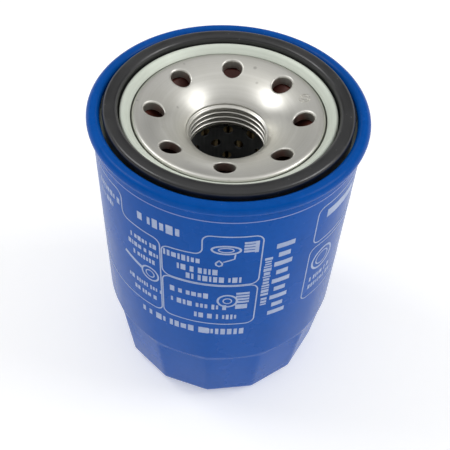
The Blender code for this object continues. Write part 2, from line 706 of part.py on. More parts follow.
def main():
    """Clears the scene and makes every piece."""
    for old in list(bpy.data.objects):
        bpy.data.objects.remove(old)

    paint = material("blue_paint", (0.02, 0.10, 0.42), 0.28, 0.0)
    pale_plating = material("pale_plating", (0.66, 0.72, 0.67), 0.4, 0.6)
    steel = material("satin_steel", (0.58, 0.57, 0.55), 0.33, 1.0)
    gasket_rubber = material("gasket_rubber", (0.02, 0.02, 0.022), 0.5, 0.0)
    valve_rubber = material("valve_rubber", (0.22, 0.035, 0.02), 0.5, 0.0)
    tinplate = material("tinplate", (0.62, 0.62, 0.60), 0.35, 1.0)
    tube_steel = material("tube_steel", (0.16, 0.16, 0.16), 0.5, 1.0)
    adhesive = material("adhesive", (0.40, 0.36, 0.30), 0.6, 0.0)
    paper = material("filter_paper", (0.62, 0.50, 0.30), 0.9, 0.0)
    spring_steel = material("spring_steel", (0.42, 0.42, 0.42), 0.3, 1.0)

    make_can(paint)
    make_lid(pale_plating)
    make_base_plate(steel)
    make_gasket(gasket_rubber)
    make_drainback_valve(valve_rubber)

    element = [
        make_upper_cap(tinplate),
        make_bond("upper_bond_ring", UPPER_BOND_TOP - BOND_THICKNESS, adhesive),
        make_media(paper),
        make_seam_clip(tinplate),
        make_centre_tube(tube_steel),
        make_bond("lower_bond_ring", LOWER_BOND_BOTTOM, adhesive),
        make_lower_cap(tinplate),
        make_cage(tinplate),
    ]
    valve = [make_poppet(tinplate), make_seal(gasket_rubber)]
    spring = coil(
        "bypass_spring",
        BYPASS_SPRING_RADIUS,
        BYPASS_SPRING_WIRE,
        DISC_TOP + FIT,
        CAGE_TOP - CAGE_SHEET - FIT,
        BYPASS_SPRING_TURNS,
        spring_steel,
    )
    coil(
        "element_spring",
        ELEMENT_SPRING_RADIUS,
        ELEMENT_SPRING_WIRE,
        CAN_SHEET + FIT,
        ELEMENT_LIFT - FIT,
        ELEMENT_SPRING_TURNS,
        spring_steel,
    )

    element_slide = anchor("element_slide", ELEMENT_LIFT)
    bypass_slide = anchor("bypass_slide", SEAL_BOTTOM)
    carry(element_slide, [*element, spring, bypass_slide])
    carry(bypass_slide, valve)


main()
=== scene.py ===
"""Looks of a spin-on oil filter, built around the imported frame.

The filter stands on its closed end. Every piece is a fine mesh in the frame's own metres, takes its place from
the frame's boxes and rides on the body that its CAD node belongs to.
"""

import logging
import math
import random
from dataclasses import dataclass, field
from enum import Enum
from typing import Any, Callable, Iterable, Mapping, Sequence, Union

import bmesh
import bpy
from mathutils import Matrix, Vector


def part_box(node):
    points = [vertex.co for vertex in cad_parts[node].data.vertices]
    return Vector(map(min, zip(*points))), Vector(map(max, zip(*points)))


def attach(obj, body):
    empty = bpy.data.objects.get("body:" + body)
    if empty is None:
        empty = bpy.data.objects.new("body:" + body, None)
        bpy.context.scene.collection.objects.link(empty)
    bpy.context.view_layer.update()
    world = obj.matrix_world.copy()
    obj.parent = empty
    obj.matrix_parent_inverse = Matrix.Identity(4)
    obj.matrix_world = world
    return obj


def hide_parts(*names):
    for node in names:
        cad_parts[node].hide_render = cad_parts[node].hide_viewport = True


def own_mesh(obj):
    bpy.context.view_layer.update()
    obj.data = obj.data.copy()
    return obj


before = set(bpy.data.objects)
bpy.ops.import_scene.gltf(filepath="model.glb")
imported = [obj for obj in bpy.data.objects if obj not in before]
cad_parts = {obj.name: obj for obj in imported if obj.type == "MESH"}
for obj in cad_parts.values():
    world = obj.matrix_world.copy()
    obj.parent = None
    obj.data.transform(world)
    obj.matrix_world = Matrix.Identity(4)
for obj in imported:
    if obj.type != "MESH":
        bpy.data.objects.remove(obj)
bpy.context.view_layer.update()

LOG = logging.getLogger("oil_filter")
MM = 0.001
ARC_STEP = math.radians(11.25)
MERGE = 2e-7
WELD = 2e-6
SMOOTH_ANGLE = math.radians(40)
STRAIGHT = math.radians(89.9)
BEAD_DROP = 2.4 * MM

Colour = tuple[float, float, float]
Point2 = tuple[float, float]
Corner = tuple[float, float, float]


class Body(Enum):
    """The frame's bodies."""

    HOUSING = "housing"
    ELEMENT = "element"
    BYPASS = "bypass_valve"


class Slot(Enum):
    """The record's material slots."""

    PAINT = "can_paint"
    PLATING = "lid_plating"
    PLATE = "plate_steel"
    GASKET = "gasket_rubber"
    VALVE = "valve_rubber"
    TINPLATE = "element_tinplate"
    TUBE = "tube_steel"
    ADHESIVE = "bond_adhesive"
    PAPER = "filter_paper"
    SPRING = "spring_steel"


class Grain(Enum):
    """The way that a finish's fine relief runs."""

    EVEN = "even"
    TURNED = "turned"
    DRAWN = "drawn"


# ---------------------------------------------------------------------------------------------------------
# Node trees
# ---------------------------------------------------------------------------------------------------------


class Wiring:
    """Adds nodes to a tree and joins them."""

    def __init__(self, tree: bpy.types.NodeTree) -> None:
        """Starts on a tree."""
        self.tree = tree

    def node(self, kind: str, values: Mapping[Any, Any] | None = None, **settings: Any) -> bpy.types.Node:
        """Adds one node.

        Args:
            kind: The node's type.
            values: For an input's name or number, a Field to link or a value to set.
            settings: The node's own settings.

        Returns:
            The new node.
        """
        made = self.tree.nodes.new(kind)
        for name, setting in settings.items():
            setattr(made, name, setting)
        for name, value in (values or {}).items():
            if isinstance(value, Field):
                self.tree.links.new(value.socket, made.inputs[name])
            else:
                made.inputs[name].default_value = value
        return made

    def field(self, kind: str, values: Mapping[Any, Any] | None = None, output: Any = 0, **settings: Any) -> "Field":
        """Adds one node and gives one of its outputs.

        Args:
            kind: The node's type.
            values: As in node.
            output: The output's name or number.
            settings: The node's own settings.

        Returns:
            The output.
        """
        return Field(self, self.node(kind, values, **settings).outputs[output])

    def split(self, place: "Field") -> tuple["Field", ...]:
        """Gives the x, y and z of a vector."""
        return tuple(Field(self, socket) for socket in self.node("ShaderNodeSeparateXYZ", {0: place}).outputs)

    def polar(self, place: "Field") -> tuple["Field", "Field", "Field"]:
        """Splits a place.

        Args:
            place: A position.

        Returns:
            Its distance from the axis, its angle round the axis and its height.
        """
        x, y, z = self.split(place)
        return (x * x + y * y).math("SQRT"), y.math("ARCTAN2", x), z

    def vector(self, x: "Value", y: "Value", z: "Value") -> "Field":
        """Joins three numbers to a vector."""
        return self.field("ShaderNodeCombineXYZ", {0: x, 1: y, 2: z})

    def around(self, radius: "Value", angle: "Field", height: "Value") -> "Field":
        """Gives the place at a distance from the axis, an angle round it and a height."""
        return self.vector(angle.math("COSINE") * radius, angle.math("SINE") * radius, height)

    def ramp(self, value: "Field", low: "Value", high: "Value", start: "Value" = 0.0, end: "Value" = 1.0) -> "Field":
        """Maps a value smoothly.

        Args:
            value: The value.
            low: Where the map starts.
            high: Where the map ends.
            start: The result up to low.
            end: The result from high.

        Returns:
            The mapped value.
        """
        values = {"Value": value, "From Min": low, "From Max": high, "To Min": start, "To Max": end}
        return self.field("ShaderNodeMapRange", values, interpolation_type="SMOOTHSTEP")


class Field:
    """An output in a node tree that can be used in ordinary arithmetic."""

    def __init__(self, wiring: Wiring, socket: bpy.types.NodeSocket) -> None:
        """Holds the output."""
        self.wiring = wiring
        self.socket = socket

    def math(self, operation: str, *others: "Value") -> "Field":
        """Adds a Math node on this value and the others."""
        return self.wiring.field("ShaderNodeMath", dict(enumerate((self, *others))), operation=operation)

    def __add__(self, other: "Value") -> "Field":
        """Adds."""
        return self.math("ADD", other)

    def __sub__(self, other: "Value") -> "Field":
        """Subtracts."""
        return self.math("SUBTRACT", other)

    def __mul__(self, other: "Value") -> "Field":
        """Multiplies."""
        return self.math("MULTIPLY", other)

    def __truediv__(self, other: "Value") -> "Field":
        """Divides."""
        return self.math("DIVIDE", other)


Value = Union[Field, float]


class Recipe(Wiring):
    """A Geometry Nodes tree with named inputs that turns a seed mesh into a finished piece."""

    KINDS = {int: "NodeSocketInt", float: "NodeSocketFloat", bpy.types.Material: "NodeSocketMaterial"}

    def __init__(self, name: str, **inputs: Any) -> None:
        """Makes the tree.

        Args:
            name: The tree's name.
            inputs: The named inputs and their values, int, float or a material.
        """
        super().__init__(bpy.data.node_groups.new(name, "GeometryNodeTree"))
        face = self.tree.interface
        face.new_socket("Geometry", in_out="INPUT", socket_type="NodeSocketGeometry")
        face.new_socket("Geometry", in_out="OUTPUT", socket_type="NodeSocketGeometry")
        self.values = inputs
        self.sockets = {
            key: face.new_socket(key.replace("_", " ").title(), in_out="INPUT", socket_type=self.KINDS[type(value)])
            for key, value in inputs.items()
        }
        group = self.tree.nodes.new("NodeGroupInput")
        self.seed = Field(self, group.outputs[0])
        self.inputs = {key: Field(self, group.outputs[index + 1]) for index, key in enumerate(inputs)}

    def position(self) -> Field:
        """The position of each point."""
        return self.field("GeometryNodeInputPosition")

    def index(self) -> Field:
        """The number of each point."""
        return self.field("GeometryNodeInputIndex")

    def attribute(self, name: str) -> Field:
        """A number that the seed mesh stores under this name."""
        return self.field("GeometryNodeInputNamedAttribute", {"Name": name}, data_type="FLOAT")

    def moved(self, geometry: Field, place: Field) -> Field:
        """Puts each point of the geometry at its place."""
        return self.field("GeometryNodeSetPosition", {"Geometry": geometry, "Position": place})

    def copies(self, points: Field, shape: Field, turn: Field, **more: Any) -> Field:
        """Puts a copy of the shape at every point.

        Args:
            points: The points.
            shape: The shape.
            turn: The rotation of each copy.
            more: Other inputs of the node, by name.

        Returns:
            The copies.
        """
        values = {"Points": points, "Instance": shape, "Rotation": turn, **more}
        return self.field("GeometryNodeInstanceOnPoints", values)

    def points(self, count: Field) -> Field:
        """Makes a number of points in one place."""
        return self.field("GeometryNodeMeshLine", {"Count": count, "Offset": (0.0, 0.0, 0.0)})

    def wheel(self, count: Field) -> Field:
        """Puts copies of the seed mesh evenly round the axis."""
        turn = self.vector(0.0, 0.0, self.index() / count * (2 * math.pi))
        return self.copies(self.points(count), self.seed, turn)

    def real(self, copies: Field) -> Field:
        """Turns copies into geometry of their own."""
        return self.field("GeometryNodeRealizeInstances", {"Geometry": copies})

    def joined(self, *parts: Field) -> Field:
        """Joins geometries.

        Args:
            parts: The geometries.

        Returns:
            One geometry.
        """
        join = self.node("GeometryNodeJoinGeometry")
        for part in parts:
            self.tree.links.new(part.socket, join.inputs[0])
        return Field(self, join.outputs[0])

    def close(self, geometry: Field, material: Field) -> None:
        """Ends the tree in Realize Instances, a merge of doubles and Set Material."""
        whole = self.field("GeometryNodeMergeByDistance", {"Geometry": self.real(geometry), "Distance": 1e-6})
        done = self.field("GeometryNodeSetMaterial", {"Geometry": whole, "Material": material})
        self.tree.links.new(done.socket, self.tree.nodes.new("NodeGroupOutput").inputs[0])

    def make(self, name: str, seed: bpy.types.Mesh | None = None) -> bpy.types.Object:
        """Runs the tree and keeps its result as a plain mesh.

        Args:
            name: The finished object's name.
            seed: The mesh that goes in, if the tree takes one.

        Returns:
            The finished object, with no modifier.
        """
        rig = bpy.data.objects.new(name + "_seed", seed or bpy.data.meshes.new(name + "_seed"))
        modifier = rig.modifiers.new("recipe", "NODES")
        modifier.node_group = self.tree
        for key, value in self.values.items():
            modifier[self.sockets[key].identifier] = value
        bpy.context.scene.collection.objects.link(rig)
        return settled(rig, name)


def settled(rig: bpy.types.Object, name: str) -> bpy.types.Object:
    """Applies an object's modifiers.

    Args:
        rig: The object, which is removed.
        name: The new object's name.

    Returns:
        A new object that holds the evaluated mesh and has no modifier.
    """
    graph = bpy.context.evaluated_depsgraph_get()
    data = bpy.data.meshes.new_from_object(rig.evaluated_get(graph), preserve_all_data_layers=True, depsgraph=graph)
    bpy.data.objects.remove(rig)
    data.name = name
    data.shade_smooth()
    data.set_sharp_from_angle(angle=SMOOTH_ANGLE)
    piece = bpy.data.objects.new(name, data)
    bpy.context.scene.collection.objects.link(piece)
    return piece


# ---------------------------------------------------------------------------------------------------------
# Finishes
# ---------------------------------------------------------------------------------------------------------


@dataclass(frozen=True)
class Specks:
    """Small scattered spots, such as pits or dust."""

    colour: Colour
    per_metre: float
    reach: float
    strength: float = 0.6


@dataclass(frozen=True)
class Finish:
    """A procedural surface: mottled colour, uneven gloss and a fine relief."""

    name: str
    colour: Colour
    shade: Colour
    roughness: float
    metallic: float = 0.0
    mottle: float = 70.0
    uneven: float = 0.05
    grain: Grain = Grain.EVEN
    grain_scale: float = 1500.0
    grain_depth: float = 0.004 * MM
    specular: float = 0.5
    glow: float = 0.0
    specks: Specks | None = None

    def build(self) -> bpy.types.Material:
        """Makes the material, or gives the one already made.

        Returns:
            The material.
        """
        ready = bpy.data.materials.get(self.name)
        if ready:
            return ready
        made = bpy.data.materials.new(self.name)
        made.use_nodes = True
        shader = made.node_tree.nodes["Principled BSDF"]
        wiring = Wiring(made.node_tree)
        place = wiring.field("ShaderNodeTexCoord", output="Object")
        blotch = self.noise(wiring, place, self.mottle, 4.0)
        grain = self.noise(wiring, self.run(wiring, place), self.grain_scale, 3.0)
        tone = wiring.ramp(blotch * 0.6 + grain * 0.4, 0.35, 0.65)
        colour = self.mix(wiring, tone, self.colour, self.shade)
        if self.specks:
            cells = {"Vector": place, "Scale": self.specks.per_metre, "Randomness": 1.0}
            near = wiring.field("ShaderNodeTexVoronoi", cells, output="Distance")
            spot = wiring.ramp(near, self.specks.reach * 0.4, self.specks.reach, self.specks.strength, 0.0)
            colour = self.mix(wiring, spot * wiring.ramp(blotch, 0.45, 0.6), colour, self.specks.colour)
        rough = wiring.ramp(blotch, 0.3, 0.7, self.roughness - self.uneven, self.roughness + self.uneven)
        bump = {"Height": grain, "Distance": self.grain_depth, "Strength": 1.0}
        wiring.tree.links.new(colour.socket, shader.inputs["Base Color"])
        wiring.tree.links.new(rough.socket, shader.inputs["Roughness"])
        wiring.tree.links.new(wiring.field("ShaderNodeBump", bump).socket, shader.inputs["Normal"])
        shader.inputs["Metallic"].default_value = self.metallic
        shader.inputs["Specular IOR Level"].default_value = self.specular
        shader.inputs["Emission Color"].default_value = (1.0, 1.0, 1.0, 1.0)
        shader.inputs["Emission Strength"].default_value = self.glow
        return made

    def run(self, wiring: Wiring, place: Field) -> Field:
        """Stretches the coordinates the way that the grain runs.

        Args:
            wiring: The material's tree.
            place: The Object coordinates.

        Returns:
            The coordinates that the fine relief is drawn on.
        """
        if self.grain is Grain.EVEN:
            return place
        radius, angle, height = wiring.polar(place)
        if self.grain is Grain.TURNED:
            return wiring.vector(radius, height, 0.0)
        return wiring.vector(angle.math("SINE") * radius, angle.math("COSINE") * radius, height * 0.04)

    @staticmethod
    def noise(wiring: Wiring, place: Field, scale: float, detail: float) -> Field:
        """Adds a noise texture and gives its value."""
        values = {"Vector": place, "Scale": scale, "Detail": detail, "Roughness": 0.55}
        return wiring.field("ShaderNodeTexNoise", values, output="Fac")

    @staticmethod
    def mix(wiring: Wiring, amount: Field, one: Colour | Field, two: Colour | Field) -> Field:
        """Mixes two colours by an amount."""
        made = wiring.node("ShaderNodeMix", {0: amount}, data_type="RGBA")
        for number, colour in ((6, one), (7, two)):
            if isinstance(colour, Field):
                wiring.tree.links.new(colour.socket, made.inputs[number])
            else:
                made.inputs[number].default_value = (*colour, 1.0)
        return Field(wiring, made.outputs[2])


PAINT = Finish(
    "baked_blue_paint", (0.000, 0.072, 0.345), (0.001, 0.084, 0.395), 0.26, mottle=45.0, uneven=0.03,
    grain_scale=700.0, specular=0.08, specks=Specks((0.25, 0.34, 0.58), 420.0, 0.10, 0.12),
)
INK = Finish(
    "pale_print_ink", (0.38, 0.45, 0.64), (0.30, 0.38, 0.59), 0.5, mottle=300.0, grain_scale=2500.0,
    grain_depth=0.003 * MM,
)
# Light ink for the thin line round the can under the seam: a painted highlight that stands in for the light
# reflection edge below the seam bead.
PAINTED_HIGHLIGHT_INK = Finish(
    "painted_highlight_edge", (0.20, 0.27, 0.56), (0.16, 0.23, 0.54), 0.42, mottle=160.0, grain_depth=0.003 * MM,
)
PLATING = Finish(
    "pale_green_plating", (0.72, 0.77, 0.68), (0.64, 0.69, 0.60), 0.48, metallic=0.2, grain=Grain.TURNED,
    grain_scale=1800.0, grain_depth=0.003 * MM,
)
STEEL = Finish(
    "satin_plate_steel", (0.71, 0.70, 0.655), (0.62, 0.61, 0.56), 0.42, metallic=1.0, mottle=60.0, uneven=0.07,
    grain=Grain.TURNED, grain_scale=900.0, specks=Specks((0.20, 0.19, 0.17), 260.0, 0.16, 0.5),
)
GASKET_RUBBER = Finish(
    "black_gasket_rubber", (0.005, 0.005, 0.006), (0.010, 0.010, 0.011), 0.34, mottle=180.0, uneven=0.06,
    grain_scale=2600.0, grain_depth=0.006 * MM, specular=0.75, specks=Specks((0.25, 0.25, 0.24), 520.0, 0.13, 0.5),
)
VALVE_RUBBER = Finish(
    "red_brown_rubber", (0.105, 0.020, 0.011), (0.070, 0.014, 0.008), 0.55, mottle=220.0, grain_scale=2200.0,
    grain_depth=0.010 * MM,
)
TINPLATE = Finish(
    "bright_tinplate", (0.70, 0.70, 0.68), (0.58, 0.58, 0.56), 0.30, metallic=1.0, mottle=120.0, grain=Grain.TURNED,
)
TUBE_STEEL = Finish(
    "oiled_tube_steel", (0.16, 0.165, 0.165), (0.10, 0.105, 0.107), 0.52, metallic=0.35, mottle=140.0,
    grain=Grain.DRAWN, grain_scale=1600.0, grain_depth=0.006 * MM,
)
ADHESIVE = Finish(
    "set_adhesive", (0.46, 0.40, 0.31), (0.36, 0.31, 0.24), 0.5, mottle=180.0, grain_scale=700.0,
    grain_depth=0.03 * MM,
)
PAPER = Finish(
    "resin_filter_paper", (0.50, 0.38, 0.20), (0.38, 0.28, 0.13), 0.85, mottle=260.0, grain_scale=2800.0,
    grain_depth=0.03 * MM, specular=0.25, specks=Specks((0.36, 0.25, 0.12), 900.0, 0.16, 0.5),
)
SPRING_STEEL = Finish(
    "drawn_spring_wire", (0.40, 0.40, 0.41), (0.27, 0.27, 0.28), 0.30, metallic=1.0, mottle=240.0,
    grain_scale=1800.0,
)


# ---------------------------------------------------------------------------------------------------------
# Outlines and meshes
# ---------------------------------------------------------------------------------------------------------


@dataclass(frozen=True)
class Span:
    """The room that a CAD node takes: its lowest and highest height and its outer radius."""

    bottom: float
    top: float
    radius: float

    @classmethod
    def of(cls, node: str) -> "Span":
        """Reads a node's box."""
        low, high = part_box(node)
        return cls(low[2], high[2], max(high[0], -low[0]))


def below_gasket(drop: float) -> float:
    """The height of a place this far under the gasket's face."""
    return Span.of("face_gasket").top - drop


def spread(start: float, end: float, count: int) -> list[float]:
    """Spaces count + 1 values evenly from start to end."""
    return [start + (end - start) * index / count for index in range(count + 1)]


def full_turn(count: int, start: float = 0.0) -> list[float]:
    """Spaces count angles evenly over a full turn."""
    return [start + 2 * math.pi * index / count for index in range(count)]


def polar(radius: float, angle: float, *height: float) -> tuple[float, ...]:
    """Gives the x and y of a radius and an angle, and passes a height on."""
    return (radius * math.cos(angle), radius * math.sin(angle), *height)


def walk(corners: Sequence[Point2], steps: Sequence[int]) -> list[Point2]:
    """Walks once round a closed outline with straight sides.

    Args:
        corners: The outline's corners.
        steps: The number of even steps on the side after each corner.

    Returns:
        The points, each corner once.
    """
    line = []
    for here, there, count in zip(corners, [*corners[1:], corners[0]], steps):
        line += list(zip(spread(here[0], there[0], count), spread(here[1], there[1], count)))[:-1]
    return line


def arc(centre: Point2, radius: float, start: float, end: float, step: float = ARC_STEP) -> list[Point2]:
    """Draws a circular arc.

    Args:
        centre: The centre.
        radius: The radius.
        start: The first angle.
        end: The last angle.
        step: The widest angle between two points.

    Returns:
        The points, both ends included.
    """
    steps = max(1, math.ceil(abs(end - start) / step - 1e-6))
    angles = spread(start, end, steps)
    return [(centre[0] + radius * math.cos(angle), centre[1] + radius * math.sin(angle)) for angle in angles]


def rounded(corners: Sequence[Corner], closed: bool = False) -> list[Point2]:
    """Draws an outline with a fillet at each corner.

    Args:
        corners: The (radius, height, fillet) corners.
        closed: Whether the last corner joins the first.

    Returns:
        The outline's points.
    """
    last = [] if closed else [corners[-1][:2]]
    line = [] if closed else [corners[0][:2]]
    befores = [corners[-1], *corners[:-1]] if closed else corners
    heres = corners if closed else corners[1:]
    afters = [*corners[1:], corners[0]] if closed else corners[2:]
    for before, corner, after in zip(befores, heres, afters):
        here = Vector(corner[:2])
        back = (Vector(before[:2]) - here).normalized()
        on = (Vector(after[:2]) - here).normalized()
        half = back.angle(on) / 2
        if corner[2] == 0 or half > STRAIGHT:
            line.append(tuple(here))
            continue
        centre = here + (back + on).normalized() * (corner[2] / math.sin(half))
        reach = corner[2] / math.tan(half)
        first = here + back * reach - centre
        turn = first.angle_signed(here + on * reach - centre)
        start = math.atan2(first.y, first.x)
        line += arc(tuple(centre), corner[2], start, start - turn)
    return line + last


def sheet(line: Sequence[Point2], thickness: float) -> list[Point2]:
    """Gives a middle line the thickness of its sheet.

    Args:
        line: The middle line.
        thickness: The sheet's thickness.

    Returns:
        The closed outline round the sheet.
    """
    points = [Vector(point) for point in line]
    points = [a for a, b in zip(points, [*points[1:], None]) if b is None or (a - b).length > MERGE]
    runs = [(b - a).normalized() for a, b in zip(points, points[1:])]
    sides = [Vector((-run.y, run.x)) for run in runs]
    near, far = [], []
    for index, point in enumerate(points):
        before, after = sides[max(index - 1, 0)], sides[min(index, len(sides) - 1)]
        mitre = (before + after).normalized()
        mitre *= thickness / 2 / mitre.dot(before)
        near.append(tuple(point + mitre))
        far.append(tuple(point - mitre))
    return near + far[::-1]


class Shape:
    """A mesh under construction."""

    def __init__(self) -> None:
        """Starts empty."""
        self.mesh = bmesh.new()

    def ring(self, points: Iterable[Sequence[float]]) -> list[bmesh.types.BMVert]:
        """Adds a row of points."""
        return [self.mesh.verts.new(point) for point in points]

    def bridge(self, one: Sequence[Any], two: Sequence[Any], closed: bool = True) -> None:
        """Joins two rows of as many points with faces.

        Args:
            one: The first row.
            two: The second row.
            closed: Whether the rows close on themselves.
        """
        for side in range(len(one) if closed else len(one) - 1):
            on = (side + 1) % len(one)
            self.mesh.faces.new([one[side], one[on], two[on], two[side]])

    def loft(self, rows: Sequence[Sequence[Any]], closed: bool = True, joined: bool = False) -> None:
        """Joins each row of points to the next.

        Args:
            rows: Rows of as many points.
            closed: Whether each row closes on itself.
            joined: Whether the last row is joined to the first.
        """
        for one, two in zip(rows, [*rows[1:], rows[0]] if joined else rows[1:]):
            self.bridge(one, two, closed)

    def lathe(self, loop: Sequence[Point2], steps: int, start: float = 0.0, closed: bool = True) -> None:
        """Revolves a (radius, height) outline about the axis.

        Args:
            loop: The outline.
            steps: The number of steps round the axis.
            start: The angle of the first step.
            closed: Whether the outline closes on itself.
        """
        angles = full_turn(steps, start)
        rings = [self.ring(polar(max(radius, 0.0), a, height) for a in angles) for radius, height in loop]
        self.loft(rings, joined=closed)

    def take(self, piece: bpy.types.Object) -> None:
        """Adds an object's mesh and removes the object."""
        self.mesh.from_mesh(piece.data)
        bpy.data.objects.remove(piece)

    def weld(self) -> None:
        """Merges the edges of pieces that meet."""
        bmesh.ops.remove_doubles(self.mesh, verts=self.mesh.verts, dist=WELD)

    def data(self, name: str, outwards: bool = True) -> bpy.types.Mesh:
        """Ends the construction.

        Args:
            name: The mesh's name.
            outwards: Whether to turn the faces outwards, as a closed mesh needs.

        Returns:
            The mesh, with its doubles merged.
        """
        bmesh.ops.remove_doubles(self.mesh, verts=self.mesh.verts, dist=MERGE)
        bmesh.ops.dissolve_degenerate(self.mesh, edges=self.mesh.edges, dist=MERGE)
        if outwards:
            bmesh.ops.recalc_face_normals(self.mesh, faces=self.mesh.faces)
        made = bpy.data.meshes.new(name)
        self.mesh.to_mesh(made)
        self.mesh.free()
        return made

    def finish(self, name: str) -> bpy.types.Object:
        """Ends the construction as a smooth-shaded object of that name."""
        rig = bpy.data.objects.new(name + "_rig", self.data(name))
        bpy.context.scene.collection.objects.link(rig)
        return settled(rig, name)


def turned(name: str, loop: Sequence[Point2], steps: int = 160) -> bpy.types.Object:
    """Makes a turned piece.

    Args:
        name: The piece's name.
        loop: Its closed (radius, height) outline.
        steps: The number of steps round the axis.

    Returns:
        The piece.
    """
    shape = Shape()
    shape.lathe(loop, steps)
    return shape.finish(name)


def deliver(piece: bpy.types.Object, finish: Finish, body: Body, slot: Slot | None, *nodes: str) -> bpy.types.Object:
    """Dresses a piece, joins it to its body and reports it.

    Args:
        piece: The finished piece.
        finish: Its finish.
        body: The body that it rides on.
        slot: The record's slot for its finish, if any; not used.
        nodes: The CAD nodes that it stands for.

    Returns:
        The piece.
    """
    piece.data.materials.clear()
    piece.data.materials.append(finish.build())
    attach(piece, body.value)
    if nodes:
        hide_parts(*nodes)
    LOG.info("%s: %d faces, %s, rides on %s", piece.name, len(piece.data.polygons), finish.name, body.value)
    return piece


def ring_of(name: str, seed: bpy.types.Mesh, count: int, material: bpy.types.Material) -> bpy.types.Object:
    """Repeats one sector round the axis.

    Args:
        name: The finished piece's name.
        seed: The sector.
        count: The number of sectors.
        material: The material.

    Returns:
        The whole ring.
    """
    recipe = Recipe(name + "_ring", count=count, material=material)
    recipe.close(recipe.wheel(recipe.inputs["count"]), recipe.inputs["material"])
    return recipe.make(name, seed)


# ---------------------------------------------------------------------------------------------------------
# The housing
# ---------------------------------------------------------------------------------------------------------


@dataclass
class Can:
    """The drawn can: closed end with a raised panel, tapered flats, plain wall and rolled seam bead."""

    sheet: float = 0.6 * MM
    bead: float = 1.55 * MM
    seam_proud: float = 1.15 * MM
    corner: float = 5.0 * MM
    panel_radius: float = 16.0 * MM
    panel_lift: float = 1.5 * MM
    panel_fillet: float = 0.9 * MM
    flats: int = 14
    flat_top: float = 24.5 * MM
    ledge: float = 2.8 * MM
    ledge_steps: int = 8
    inset: float = 0.25 * MM
    softness: float = 0.0022
    edge_share: float = 0.6
    fade_inside: float = 1.5 * MM
    fade_share: float = 0.98
    taper: float = 1.95 * MM
    foot_share: float = 1.25
    curl_start: float = math.radians(-70)
    phase: float = math.radians(9.3)
    steps_per_flat: int = 16
    span: Span = field(default_factory=lambda: Span.of("can_shell"))

    @property
    def radius(self) -> float:
        """The plain wall's outer radius."""
        return self.span.radius - self.seam_proud

    def profile(self) -> list[Point2]:
        """Draws the sheet's outline from the middle of the closed end to the seam bead.

        Returns:
            The closed (radius, height) outline.
        """
        wall = self.radius - self.sheet / 2
        foot = self.span.bottom + self.sheet / 2
        bead = self.bead - self.sheet / 2
        bead_height = self.span.top - self.bead
        middle = self.span.radius - self.bead
        ledge = [(wall, self.flat_top + self.ledge * step, 0.0) for step in spread(-0.5, 0.5, self.ledge_steps)]
        corners = [
            (0.0, foot + self.panel_lift, 0.0),
            (self.panel_radius - self.panel_lift / 2, foot + self.panel_lift, self.panel_fillet),
            (self.panel_radius + self.panel_lift / 2, foot, self.panel_fillet),
            (wall - self.taper * self.foot_share, foot, self.corner - self.sheet / 2),
            *ledge,
            (wall, bead_height - math.sqrt(bead**2 - (wall - middle) ** 2), 0.0),
        ]
        curl = arc((middle, bead_height), bead, self.curl_start, math.pi)
        return sheet(rounded(corners) + curl, self.sheet)

    def flute(self, seed: bpy.types.Mesh) -> bpy.types.Object:
        """Draws the round wall in to its flats below the ledge, and lets them fade out under the can.

        Args:
            seed: The round can.

        Returns:
            The fluted can.
        """
        foot = self.radius - self.taper - self.corner
        recipe = Recipe(
            "flute", flats=self.flats, phase=self.phase, ledge_bottom=self.flat_top - self.ledge / 2,
            ledge_top=self.flat_top + self.ledge / 2, fade_from=foot - self.fade_inside,
            fade_to=foot + self.corner * self.fade_share, softness=self.softness,
            edge_share=self.edge_share, inset=self.inset / self.radius, material=PAINT.build(),
        )
        inputs = recipe.inputs
        radius, angle, height = recipe.polar(recipe.position())
        pitch = recipe.field("ShaderNodeMath", {0: 2 * math.pi, 1: inputs["flats"]}, operation="DIVIDE")
        middle = (angle - inputs["phase"]).math("FLOORED_MODULO", pitch) - pitch * 0.5
        flat = (pitch * 0.5).math("COSINE") / middle.math("COSINE")
        edge = inputs["softness"] * inputs["edge_share"] * -1.0 + 1.0
        soft = flat.math("SMOOTH_MIN", edge, inputs["softness"]) - inputs["inset"]
        weight = recipe.ramp(height, inputs["ledge_bottom"], inputs["ledge_top"], 1.0, 0.0)
        weight = weight * recipe.ramp(radius, inputs["fade_from"], inputs["fade_to"])
        reach = radius * ((soft - 1.0) * weight + 1.0)
        recipe.close(recipe.moved(recipe.seed, recipe.around(reach, angle, height)), inputs["material"])
        return recipe.make("drawn_can", seed)

    def build(self) -> None:
        """Builds and dresses the can."""
        shape = Shape()
        shape.lathe(self.profile(), self.flats * self.steps_per_flat, self.phase)
        deliver(self.flute(shape.data("round_can")), PAINT, Body.HOUSING, Slot.PAINT, "can_shell")


@dataclass
class Lid:
    """The seaming lid: the pale lip over the base plate, its rib and the channel that holds the gasket."""

    sheet: float = 0.5 * MM
    rib: float = 2.1 * MM
    lip_drop: float = 1.05 * MM
    crest: float = 1.25 * MM
    gasket_gap: float = 0.3 * MM
    lip_tuck: float = 0.12 * MM
    floor_fillet: float = 0.5 * MM
    steps: int = 192
    span: Span = field(default_factory=lambda: Span.of("seaming_lid"))
    bead_height: float = field(default_factory=lambda: below_gasket(BEAD_DROP))

    def build(self) -> None:
        """Builds and dresses the lid."""
        inner = Gasket().inner_radius - self.gasket_gap - self.sheet / 2
        outer = self.span.radius - self.sheet / 2
        floor = self.span.bottom + self.sheet / 2
        top = self.bead_height + self.crest - self.sheet / 2
        corners = [
            (inner - self.rib + self.lip_tuck, self.bead_height - self.lip_drop + self.sheet / 4, 0.0),
            (inner - self.rib * 0.45, self.bead_height + 0.25 * MM, 1.2 * MM),
            (inner, top, 0.34 * MM),
            (inner, floor, self.floor_fillet),
            (outer, floor, self.floor_fillet),
            (outer, self.bead_height - 0.3 * MM, 0.0),
        ]
        piece = turned("seamed_lid", sheet(rounded(corners), self.sheet), self.steps)
        deliver(piece, PLATING, Body.HOUSING, Slot.PLATING, "seaming_lid")


